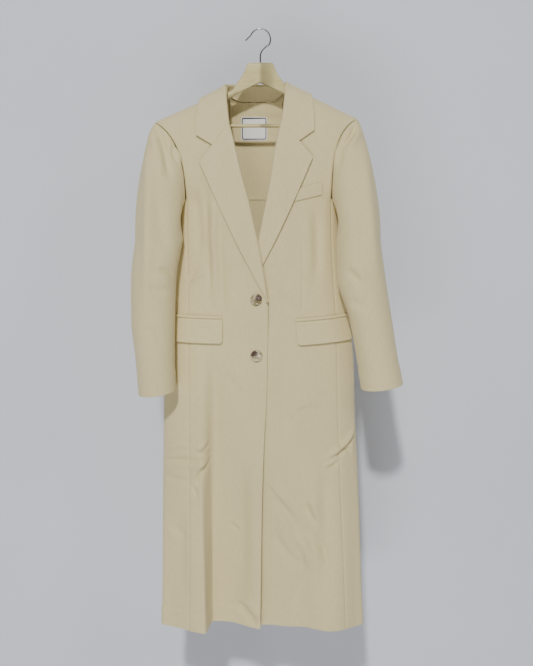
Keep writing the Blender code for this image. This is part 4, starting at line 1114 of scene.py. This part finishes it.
def placed(tree, scale=(1.0, 1.0, 1.0), turn=(0.0, 0.0, 0.0)):
    """Object coordinates, stretched and turned."""
    coordinates = node(tree, "ShaderNodeTexCoord")
    mapping = node(tree, "ShaderNodeMapping")
    mapping.inputs["Scale"].default_value = scale
    mapping.inputs["Rotation"].default_value = [math.radians(angle) for angle in turn]
    link(tree, coordinates, "Object", mapping, "Vector")
    return mapping


def tone(tree, source, output, dark, light, low=0.0, high=1.0):
    """A ramp from one colour to another over a texture's values."""
    ramp = node(tree, "ShaderNodeValToRGB")
    ramp.color_ramp.elements[0].position = low
    ramp.color_ramp.elements[0].color = (*dark, 1.0)
    ramp.color_ramp.elements[1].position = high
    ramp.color_ramp.elements[1].color = (*light, 1.0)
    link(tree, source, output, ramp, "Fac")
    return ramp


def texture(tree, kind, where, **values):
    made = node(tree, "ShaderNodeTex" + kind, **values)
    link(tree, where, "Vector", made, "Vector")
    return made


def multiplied(tree, one, two, share=1.0):
    """One colour times the other, by a share of its effect."""
    made = node(tree, "ShaderNodeMixRGB", blend_type="MULTIPLY")
    made.inputs["Fac"].default_value = share
    link(tree, one, "Color", made, "Color1")
    link(tree, two, "Color", made, "Color2")
    return made


def finish(tree, shader, colour, relief, output, strength, distance):
    """Give the shader its colour, and a fine relief from a texture."""
    link(tree, colour, "Color", shader, "Base Color")
    bump = node(tree, "ShaderNodeBump", Strength=strength, Distance=distance)
    link(tree, relief, output, bump, "Height")
    link(tree, bump, "Normal", shader, "Normal")


def cloth_material(name, colour, thread, roughness=0.82, sheen=0.18, lines=0.10):
    """Twill: a fine diagonal rib across a plain weave, with a cloudy unevenness of tone."""
    made, tree, shader = new_material(name, roughness)
    wave_scale = 0.314 / thread
    rib = texture(tree, "Wave", placed(tree, turn=(0.0, 62.0, 0.0)),
                  Scale=wave_scale, Distortion=0.6, Detail=1.0)
    weft = texture(tree, "Wave", placed(tree, turn=(0.0, 90.0, 0.0)),
                   Scale=wave_scale * 1.3, Distortion=0.4, Detail=1.0)
    weave = node(tree, "ShaderNodeMix", data_type="FLOAT")
    weave.inputs["Factor"].default_value = 0.35
    link(tree, rib, "Fac", weave, "A")
    link(tree, weft, "Fac", weave, "B")
    clouds = texture(tree, "Noise", placed(tree, (1.0, 1.0, 0.5)),
                     Scale=5.0, Detail=3.0, Roughness=0.6)
    slubs = texture(tree, "Noise", placed(tree, (1.0, 1.0, 0.3)), Scale=320.0, Detail=2.0)
    base = tone(tree, clouds, "Fac", [c * 0.955 for c in colour],
                [min(1.0, c * 1.03) for c in colour], 0.3, 0.7)
    fine = tone(tree, slubs, "Fac", (0.95, 0.95, 0.95), (1.0, 1.0, 1.0), 0.35, 0.65)
    ribs = tone(tree, weave, "Result", (1.0 - lines,) * 3, (1.0, 1.0, 1.0), 0.2, 0.7)
    last = multiplied(tree, multiplied(tree, base, fine), ribs)
    finish(tree, shader, last, weave, "Result", 0.35, thread * 0.25)
    shader.inputs["Sheen Weight"].default_value = sheen
    shader.inputs["Sheen Roughness"].default_value = 0.5
    shader.inputs["Specular IOR Level"].default_value = 0.25
    return made


# painted shade: the hanger's right half is darkened beside its middle, as if turned from the light:
# distance from there, shade
PAINTED_HEAD_SHADE = ((0.0005, 0.52), (0.0120, 0.60), (0.0230, 0.74), (0.0320, 0.95))


def wood_material():
    """Pale wood with fine grain and growth rings, and painted shade on the right half beside the
    middle.
    """
    made, tree, shader = new_material("pale_wood", 0.42)
    grain = texture(tree, "Noise", placed(tree, (1.2, 14.0, 14.0), (0.0, 12.0, 0.0)),
                    Scale=14.0, Detail=6.0, Roughness=0.62)
    rings = texture(tree, "Wave", placed(tree, (0.35, 3.0, 3.0), (0.0, 8.0, 0.0)),
                    Scale=5.0, Distortion=5.0, Detail=3.0, wave_type="RINGS")
    base = tone(tree, grain, "Fac", (0.600, 0.510, 0.235), (0.700, 0.605, 0.300), 0.32, 0.70)
    late = tone(tree, rings, "Fac", (0.94, 0.92, 0.87), (1.0, 1.0, 1.0), 0.0, 0.5)
    grained = multiplied(tree, base, late, 0.6)
    # painted shade: the colour is darkened just right of the middle, by object x
    axes = node(tree, "ShaderNodeSeparateXYZ")
    link(tree, placed(tree), "Vector", axes, "Vector")
    painted_shade_ramp = node(tree, "ShaderNodeValToRGB")
    for position, shade in PAINTED_HEAD_SHADE:
        stop = painted_shade_ramp.color_ramp.elements.new(0.5 + position)
        stop.color = (shade, shade, shade * 0.97, 1.0)
    painted_shade_ramp.color_ramp.elements[0].color = (1.0, 1.0, 1.0, 1.0)
    stop = painted_shade_ramp.color_ramp.elements.new(0.4995)
    stop.color = (1.0, 1.0, 1.0, 1.0)
    middle = node(tree, "ShaderNodeMath", operation="ADD")
    middle.inputs[1].default_value = 0.5
    link(tree, axes, "X", middle, 0)
    link(tree, middle, "Value", painted_shade_ramp, "Fac")
    head = multiplied(tree, grained, painted_shade_ramp)
    finish(tree, shader, head, grain, "Fac", 0.2, 0.0003)
    shader.inputs["Coat Weight"].default_value = 0.15
    return made


def metal_material():
    made, tree, shader = new_material("plated_wire", 0.22, 1.0)
    marks = texture(tree, "Noise", placed(tree, (1.0, 1.0, 0.2)), Scale=220.0, Detail=3.0)
    base = tone(tree, marks, "Fac", (0.26, 0.24, 0.22), (0.42, 0.40, 0.37), 0.3, 0.7)
    finish(tree, shader, base, marks, "Fac", 0.1, 0.0001)
    return made


def horn_material(name, centre, dark_at):
    """Marbled horn: cream with olive veins, dark brown on one side and along the rim."""
    made, tree, shader = new_material(name, 0.22)
    veins = texture(tree, "Noise", placed(tree, (1.0, 1.0, 1.6), (0.0, 35.0, 0.0)),
                    Scale=60.0, Detail=3.0, Distortion=1.2)
    base = tone(tree, veins, "Fac", (0.200, 0.160, 0.060), (0.560, 0.500, 0.310), 0.38, 0.60)
    coordinates = node(tree, "ShaderNodeTexCoord")
    colour = base
    for x, z, reach, strength, shade in dark_at:
        away = node(tree, "ShaderNodeVectorMath", operation="DISTANCE")
        away.inputs[1].default_value = (centre[0] + x, centre[1], centre[2] + z)
        link(tree, coordinates, "Object", away, 0)
        wobble = node(tree, "ShaderNodeMath", operation="MULTIPLY_ADD")
        wobble.inputs[1].default_value = 0.006
        link(tree, veins, "Fac", wobble, 0)
        link(tree, away, "Value", wobble, 2)
        near = node(tree, "ShaderNodeMapRange", From_Min=reach + 0.0015, From_Max=reach + 0.0045)
        near.inputs["To Min"].default_value = strength
        near.inputs["To Max"].default_value = 0.0
        link(tree, wobble, "Value", near, "Value")
        mixed = node(tree, "ShaderNodeMixRGB")
        mixed.inputs["Color2"].default_value = (*shade, 1.0)
        link(tree, near, "Result", mixed, "Fac")
        link(tree, colour, "Color", mixed, "Color1")
        colour = mixed
    finish(tree, shader, colour, veins, "Fac", 0.08, 0.0002)
    shader.inputs["Coat Weight"].default_value = 0.25
    shader.inputs["Coat Roughness"].default_value = 0.12
    return made


def wall_material(name, colour):
    """Plain paint, which isn't there for a view from behind the wall."""
    made, tree, shader = new_material(name, 0.9)
    stains = texture(tree, "Noise", placed(tree), Scale=1.1, Detail=4.0)
    base = tone(tree, stains, "Fac", [c * 0.97 for c in colour], [c * 1.02 for c in colour],
                0.35, 0.65)
    finish(tree, shader, base, stains, "Fac", 0.2, 0.002)
    side = node(tree, "ShaderNodeNewGeometry")
    clear = node(tree, "ShaderNodeBsdfTransparent")
    either = node(tree, "ShaderNodeMixShader")
    link(tree, side, "Backfacing", either, "Fac")
    tree.links.new(shader.outputs["BSDF"], either.inputs[1])
    tree.links.new(clear.outputs["BSDF"], either.inputs[2])
    link(tree, either, "Shader", tree.nodes["Material Output"], "Surface")
    return made


CREAM = (0.760, 0.655, 0.360)
BROWN = (0.060, 0.026, 0.012)
TAN = (0.16, 0.075, 0.03)
MATERIALS = {
    "coat_cloth": cloth_material("beige_suiting", CREAM, 0.0007),
    "lining": cloth_material("inner_cloth", (0.750, 0.645, 0.345), 0.0005, 0.70, 0.10, 0.05),
    "label_cloth": cloth_material("woven_label", (0.930, 0.925, 0.900), 0.0004, 0.75, 0.05, 0.03),
    "label_border": cloth_material("navy_thread", (0.012, 0.018, 0.045), 0.0004, 0.70, 0.05, 0.2),
    "sewing_thread": cloth_material("beige_thread", (0.200, 0.150, 0.080), 0.0003, 0.70, 0.1, 0.2),
    "hanger_wood": wood_material(),
    "hanger_metal": metal_material(),
    "button_horn": None,
}

# ---------------------------------------------------------------- the coat's cloth

BELOW = dense(270, 0.945, last=False)
BELOW_BACK = dense(150, 0.945, last=False)
ABOVE = spread(0.0, 1.0, 40)[1:-1] + [0.988, 0.995, 0.999]
ABOVE = [1.0 + share for share in ABOVE]
HEM_EDGES = (SEWN, SEWN, TURNED, SEWN)
CUFF_EDGES = (SEWN, SEWN, SEWN, TURNED)

# flat size of each cut piece: width, length and area, seams' and hem's turnings left out
Cut = namedtuple("Cut", "width length area")
CUTS = {
    "front": Cut(0.300, 1.150, 0.210),
    "side_panel": Cut(0.150, 0.950, 0.125),
    "back": Cut(0.240, 1.160, 0.200),
    "sleeve_top": Cut(0.290, 0.600, 0.117),
    "sleeve_under": Cut(0.120, 0.440, 0.032),
    "lapel": Cut(0.130, 0.320, 0.0190),
    "collar_fall": Cut(0.420, 0.110, 0.034),
    "collar_stand": Cut(0.330, 0.036, 0.0060),
    "pocket_flap": Cut(0.115, 0.058, 0.0064),
    "pocket_lip": Cut(0.114, 0.016, 0.0011),
    "chest_welt": Cut(0.056, 0.028, 0.0014),
    "back_facing": Cut(0.125, 0.220, 0.022),
    "back_lining": Cut(0.120, 0.145, 0.016),
    "neck_label": Cut(0.056, 0.049, 0.0026),
}


STAND_FORWARD = 0.0012         # the stand comes flush with the facing below it
LINING_LAP = 0.0007            # the lining's turned edge lies on the facing
LABEL_CORNER = 0.0045


def rounded_label(across, along):
    """The label with its corners rounded off."""
    low_x, high_x, low_z, high_z = LABEL
    from_edge = min(along, 1.0 - along) * (high_z - low_z)
    inset = 0.0
    if from_edge < LABEL_CORNER:
        inset = LABEL_CORNER - math.sqrt(LABEL_CORNER ** 2 - (LABEL_CORNER - from_edge) ** 2)
    share = inset / (high_x - low_x)
    return label_surface(mix(share, 1.0 - share, across), along)


def cloth_pieces():
    front_seam, back_seam = SLEEVE_SEAMS
    top = (back_seam - 1.0 + SLEEVE_SEAM_SHARE / 2, front_seam - SLEEVE_SEAM_SHARE / 2)
    under = (front_seam + SLEEVE_SEAM_SHARE / 2, back_seam - SLEEVE_SEAM_SHARE / 2)
    sleeve_rows = dense(46, 0.20, last=False) + [1.0 + s for s in dense(80, 0.32, first=False)[1:]]
    folded = spread(0.0, COLLAR_TURN, 10)[:-1]
    folded += [mix(COLLAR_TURN, 1.0, share) for share in dense(34, 0.09, first=False)]
    for side, sign in SIDES.items():
        yield Cloth("front_" + side, front_surface(side), dense(96, 0.19), BELOW + ABOVE,
                    sign, (FREE, SEWN, TURNED, SEWN), "front")
        yield Cloth("side_panel_" + side, side_surface(side), dense(46, 0.13), BELOW + [1.0],
                    sign, HEM_EDGES, "front back")
        yield Cloth("back_" + side, back_surface(side), dense(90, 0.2), BELOW_BACK + ABOVE,
                    sign, HEM_EDGES, "back")
        yield Cloth("sleeve_top_" + side, sleeve_surface(side, *top), dense(60, 0.26),
                    sleeve_rows, sign, CUFF_EDGES, "sleeve_" + side)
        yield Cloth("sleeve_under_" + side, sleeve_surface(side, *under), dense(26, 0.09),
                    sleeve_rows, sign, CUFF_EDGES, "sleeve_" + side)
        yield Cloth("lapel_" + side, lapel_surface(side), folded, dense(90, 0.29),
                    sign, (SEWN, FREE, SEWN, FREE), "plain")
    yield Cloth("collar_fall", collar_fall, folded, [2.0 * s - 1.0 for s in dense(150, 0.42)],
                -1, (SEWN, FREE, FREE, FREE), "")
    yield Cloth("collar_stand", collar_stand, [-0.04] + dense(12, 0.04),
                [STAND_END * (2.0 * s - 1.0) for s in dense(90, 0.33)], 1, (SEWN,) * 4, "",
                lift=STAND_FORWARD)
    for name, flap in FLAPS.items():
        yield Cloth(name, pocket_surface(flap), dense(60, 0.113), dense(26, 0.05),
                    SIDES[flap.side], (FREE, FREE, FREE, SEWN), "front", lift=WALL + LAID)
    for name, lip in LIPS.items():
        yield Cloth(name, pocket_surface(lip), dense(60, 0.113), dense(8, 0.007),
                    SIDES[lip.side], (SEWN, SEWN, FREE, FREE), "front", lift=WALL + LAID)
    yield Cloth("chest_welt", pocket_surface(WELT), dense(40, 0.055), dense(18, 0.024),
                SIDES[WELT.side], (FREE,) * 4, "front", lift=WALL + LAID)
    inset = -(WALL + LAID)
    inside = inside_back(FACING_HALF), dense(50, 0.112)
    yield Cloth("back_facing", *inside, [0.994, 1.001] + ABOVE, -1, (SEWN, SEWN, SEWN, FREE),
                "inside", "lining", THIN_WALL, inset)
    yield Cloth("back_lining", *inside, [mix(LINING_END, 1.0, share) for share in dense(36, 0.14)],
                -1, (SEWN, SEWN, SEWN, FREE), "inside", "lining", THIN_WALL, inset - LINING_LAP)
    yield Cloth("neck_label", rounded_label, dense(24, 0.055), dense(24, 0.048), -1, (FREE,) * 4,
                "inside", "label_cloth", THIN_WALL / 2, inset - THIN_WALL - SEAM)


for piece in cloth_pieces():
    kind = piece.node
    for ending in ("_right", "_left"):
        kind = kind.removesuffix(ending)
    cut = CUTS[kind]
    make_cloth(piece, cut.area)

# ---------------------------------------------------------------- label border


def curve_piece(name, points, radius, slot, nodes=(), closed=False, sides=4):
    curve = bpy.data.curves.new(name, "CURVE")
    curve.dimensions = "3D"
    curve.bevel_depth = radius
    curve.bevel_resolution = sides
    curve.use_fill_caps = not closed
    spline = curve.splines.new("POLY")
    spline.points.add(len(points) - 1)
    for knot, point in zip(spline.points, points):
        knot.co = (*point, 1.0)
    spline.use_cyclic_u = closed
    spline.use_smooth = True
    return put(name, curve, slot, nodes)


BORDER_INSET = 0.0027
BORDER_THREAD = 0.0010
BORDER_CORNER = 0.0030
on_label = -(WALL + LAID + THIN_WALL + SEAM) - 0.0006


def border_points():
    """Round the label's edge, inset, with rounded corners."""
    low_x, high_x, low_z, high_z = LABEL
    shift = BORDER_INSET + BORDER_CORNER
    centres = [(high_x - shift, high_z - shift), (low_x + shift, high_z - shift),
               (low_x + shift, low_z + shift), (high_x - shift, low_z + shift)]
    outline = []
    for quarter, (x, z) in enumerate(centres):
        for share in spread(0.0, 1.0, 7):
            angle = math.radians(90.0 * (quarter + share))
            outline.append((x + BORDER_CORNER * math.cos(angle),
                            z + BORDER_CORNER * math.sin(angle)))
    for (x, z), (x_end, z_end) in zip(outline, outline[1:] + outline[:1]):
        steps = max(1, int(math.hypot(x_end - x, z_end - z) / 0.003))
        for share in spread(0.0, 1.0, steps + 1)[:-1]:
            yield mix(x, x_end, share), mix(z, z_end, share)


border = []
for x, z in border_points():
    y = back_y("right", x, z)
    height = wave_heights(np.array([[(x + COAT_SHIFT, y, z)]]))[0, 0]
    border.append((x + COAT_SHIFT, y + on_label + height, z))
curve_piece("label_border", border, BORDER_THREAD, "label_border", closed=True)

# ---------------------------------------------------------------- hanging loop

LOOP_CORD = 0.0011
LOOP_DROP = 0.0095
loop = []
for step in range(25):
    angle = math.pi * step / 24
    x = LOOP_X + LOOP_RADIUS * math.cos(angle)
    z = BACK_NECK_Z - 0.001 - LOOP_DROP * math.sin(angle)
    loop.append((x + COAT_SHIFT, back_y("right", x, z) + on_label - LOOP_CORD, z))
curve_piece("loop_cord", loop, LOOP_CORD, "coat_cloth", ["hang_loop"])

# ---------------------------------------------------------------- buttons

# from the middle of the face round the rim to the back: shares of the radius and the height
BUTTON_PROFILE = [(0.0, 0.62), (0.30, 0.625), (0.52, 0.645), (0.62, 0.68), (0.69, 0.80),
                  (0.74, 0.93), (0.79, 0.99), (0.84, 1.0), (0.90, 0.97), (0.95, 0.89),
                  (0.985, 0.76), (1.0, 0.60), (0.995, 0.42), (0.965, 0.24), (0.90, 0.10),
                  (0.80, 0.0), (0.40, -0.01), (0.0, -0.01)]
SPOTS = {      # where the horn is dark: x and z from the middle, reach, strength and shade
    "button_upper": [(0.0060, 0.0058, 0.0082, 0.97, BROWN), (-0.0120, -0.0040, 0.0030, 0.80, TAN),
                     (0.0020, -0.0125, 0.0030, 0.70, TAN)],
    "button_lower": [(-0.0060, 0.0062, 0.0080, 0.97, BROWN), (0.0010, -0.0125, 0.0042, 0.85, TAN),
                     (0.0120, 0.0010, 0.0020, 0.60, TAN)],
}
THREAD = 0.00035               # radius of the thread that holds a button
THREAD_ARCH = 0.0022           # its ends dip into the holes by this
THREAD_FORWARD = 0.00045       # it lies this far in front of the button's middle
WELL_HEIGHT = 0.64             # share of the button's height at its middle


def hole_places():
    for i in range(4):
        angle = math.radians(45.0 + 90.0 * i)
        reach = BUTTON_HOLE_PLACE * math.sqrt(2.0)
        yield math.cos(angle) * reach, math.sin(angle) * reach


def make_button(name):
    """A turned button with four drilled holes, and two pairs of threads across its face."""
    low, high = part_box(name)
    centre = [(a + b) / 2 for a, b in zip(low, high)]
    rest_y = high[1]
    segments = 72
    mesh = bmesh.new()
    rings = []
    for share, height in BUTTON_PROFILE:
        radius = share * BUTTON_RADIUS
        y = rest_y - height * BUTTON_HEIGHT
        if radius == 0.0:
            rings.append([mesh.verts.new((centre[0], y, centre[2]))])
            continue
        rings.append([mesh.verts.new((centre[0] + radius * math.cos(2 * math.pi * i / segments), y,
                                      centre[2] + radius * math.sin(2 * math.pi * i / segments)))
                      for i in range(segments)])
    for one, two in zip(rings, rings[1:]):
        for i in range(segments):
            m = (i + 1) % segments
            if len(one) == 1:
                mesh.faces.new((one[0], two[i], two[m]))
            elif len(two) == 1:
                mesh.faces.new((one[i], two[0], one[m]))
            else:
                mesh.faces.new((one[i], two[i], two[m], one[m]))
    data = from_bmesh("horn_" + name, mesh)
    data.shade_smooth()
    MATERIALS["button_horn"] = horn_material("horn_" + name, centre, SPOTS[name])
    button = put("horn_" + name, data, "button_horn", [name])
    drill = bmesh.new()
    for x, z in hole_places():
        shift = Matrix.Translation((centre[0] + x, rest_y, centre[2] + z))
        bmesh.ops.create_cone(drill, cap_ends=True, segments=20, radius1=BUTTON_HOLE_RADIUS,
                              radius2=BUTTON_HOLE_RADIUS, depth=4 * BUTTON_HEIGHT,
                              matrix=shift @ Matrix.Rotation(math.pi / 2, 4, "X"))
    tool = linked(name + "_drill", from_bmesh(name + "_drill", drill, recalculate=False))
    hole = button.modifiers.new("holes", "BOOLEAN")
    hole.object = tool
    hole.operation = "DIFFERENCE"
    hole.solver = "EXACT"
    bpy.context.view_layer.update()
    depsgraph = bpy.context.evaluated_depsgraph_get()
    drilled = bpy.data.meshes.new_from_object(button.evaluated_get(depsgraph))
    button.modifiers.clear()
    button.data = drilled
    bpy.data.objects.remove(tool, do_unlink=True)
    drilled.set_sharp_from_angle(angle=math.radians(50.0))
    holes = list(hole_places())
    face_y = rest_y - WELL_HEIGHT * BUTTON_HEIGHT
    for index, (one, two) in enumerate(((holes[0], holes[1]), (holes[3], holes[2]))):
        for strand in (-1, 1):
            points = []
            for share in spread(0.0, 1.0, 10):
                x = mix(one[0], two[0], share)
                z = mix(one[1], two[1], share) + strand * THREAD
                y = face_y + THREAD_ARCH * (2.0 * share - 1.0) ** 4 - THREAD_FORWARD
                points.append((centre[0] + x, y, centre[2] + z))
            curve_piece(f"{name}_thread_{index}_{strand + 1}", points, THREAD, "sewing_thread")


for name in SPOTS:
    make_button(name)

# ---------------------------------------------------------------- hanger

HANGER_TRACKS = {column: track(HANGER, "x", column) for column in ("top", "foot", "half_depth")}
RIDGE_FORWARD = 0.0016         # the two arms meet in a soft upright ridge in the middle
RIDGE_SWEEP = 0.030
RIDGE_SWELL = 0.10             # and the front swells by this share of its depth


def hanger_ring(x, sides):
    """One section of the hanger's body: boxy in the middle, round along the arms."""
    away = abs(x)
    top, foot = HANGER_TRACKS["top"](away), HANGER_TRACKS["foot"](away)
    depth = HANGER_TRACKS["half_depth"](away)
    boxy = 1.0 - ease((away - 0.030) / 0.030)
    ridge = boxy * (1.0 - clamp(away / RIDGE_SWEEP))
    ring = []
    for i in range(sides):
        turn = 2.0 * math.pi * (i + 0.5) / sides
        across, up = math.cos(turn), math.sin(turn)
        y = depth * math.copysign(abs(across) ** mix(0.8, 0.38, boxy), across)
        rise = math.copysign(abs(up) ** mix(0.9, 0.62, boxy), up)
        z = (top + foot) / 2 + (top - foot) / 2 * rise
        ring.append((x, y - RIDGE_FORWARD * ridge - RIDGE_SWELL * ridge * max(0.0, -y), z))
    return ring


def make_hanger():
    """The wooden body, its trouser bar and the wire hook."""
    sides = 56
    end = HANGER[-1].x
    stations = [end * share for share in spread(0.0, 1.0, 110)]
    stations = [-x for x in stations[:0:-1]] + stations
    mesh = bmesh.new()
    rings = [[mesh.verts.new(point) for point in hanger_ring(x, sides)] for x in stations]
    for one, two in zip(rings, rings[1:]):
        for i in range(sides):
            m = (i + 1) % sides
            mesh.faces.new((one[i], one[m], two[m], two[i]))
    mesh.faces.new(rings[0])
    mesh.faces.new(rings[-1])
    data = from_bmesh("wooden_hanger", mesh)
    data.shade_smooth()
    data.set_sharp_from_angle(angle=math.radians(40.0))
    put("wooden_hanger", data, "hanger_wood", ["hanger_body"])
    bar = [(mix(-BAR_HALF, BAR_HALF, share), 0.0, BAR_Z) for share in spread(0.0, 1.0, 60)]
    curve_piece("wooden_bar", bar, BAR_RADIUS, "hanger_wood", ["hanger_bar"], sides=8)
    crown_z = HOOK_WIRE - HOOK_RADIUS
    points = [Vector((point.x, 0.0, point.z)) for point in HOOK_STEM]
    for step in range(37):
        angle = math.radians(mix(*HOOK_ARC, step / 36))
        x, z = HOOK_RADIUS * math.cos(angle), HOOK_RADIUS * math.sin(angle)
        points.append(Vector((x, 0.0, crown_z + z)))
    points.append(Vector((HOOK_TIP.x, 0.0, HOOK_TIP.z)))
    for _ in range(2):
        finer = [points[0]]
        for one, two in zip(points, points[1:]):
            finer += [one.lerp(two, 0.25), one.lerp(two, 0.75)]
        points = finer + [points[-1]]
    curve_piece("wire_hook", points, HOOK_WIRE, "hanger_metal", ["hanger_hook"], sides=6)


make_hanger()

# ---------------------------------------------------------------- stage, lights and camera


def panel(name, size, location, turn, material):
    mesh = bpy.data.meshes.new(name)
    half_x, half_y = size[0] / 2, size[1] / 2
    corners = ((-half_x, -half_y), (half_x, -half_y), (half_x, half_y), (-half_x, half_y))
    mesh.from_pydata([(x, y, 0) for x, y in corners], [], [(0, 1, 2, 3)])
    mesh.materials.append(material)
    made = linked(name, mesh)
    made.location = location
    made.rotation_euler = [math.radians(angle) for angle in turn]


WALL_Y = 0.29
FLOOR_Z = -2.10
panel("floor", (12.0, 12.0), (0.0, WALL_Y - 6.0, FLOOR_Z), (0, 0, 0),
      wall_material("pale_floor", (0.68, 0.685, 0.70)))
panel("backdrop", (12.0, 8.0), (0.0, WALL_Y, FLOOR_Z + 4.0), (90, 0, 0),
      wall_material("pale_wall", (0.710, 0.735, 0.815)))


def light(name, size, location, target, watts, colour):
    data = bpy.data.lights.new(name, "AREA")
    data.shape = "DISK"
    data.size = size
    data.energy = watts
    data.color = colour
    made = linked(name, data)
    made.location = location
    made.rotation_euler = (Vector(target) - Vector(location)).to_track_quat("-Z", "Y").to_euler()


light("key", 0.45, (-0.7, -6.3, 4.3), (0.0, 0.0, -0.8), 500.0, (1.0, 0.985, 0.95))
light("right", 1.2, (3.0, -3.6, 2.0), (0.0, 0.0, -0.6), 24.0, (1.0, 0.985, 0.95))
light("low", 1.6, (-0.8, -3.2, -1.8), (0.0, 0.0, -1.3), 36.0, (1.0, 0.99, 0.97))

world = bpy.data.worlds.new("studio")
world.use_nodes = True
world.node_tree.nodes["Background"].inputs["Color"].default_value = (0.82, 0.85, 0.90, 1.0)
world.node_tree.nodes["Background"].inputs["Strength"].default_value = 0.12
bpy.context.scene.world = world

VIEW_HALF = 0.333              # half of the view's height, 1 m away
camera_data = bpy.data.cameras.new("camera")
camera_data.sensor_fit = "VERTICAL"
camera_data.sensor_height = 24.0
camera_data.lens = camera_data.sensor_height / 2 / VIEW_HALF
camera = linked("camera", camera_data)
camera.location = (0.0125, -2.095, -0.2195)
camera.rotation_euler = (math.radians(90.0 - 10.9), 0.0, 0.0)
bpy.context.scene.camera = camera
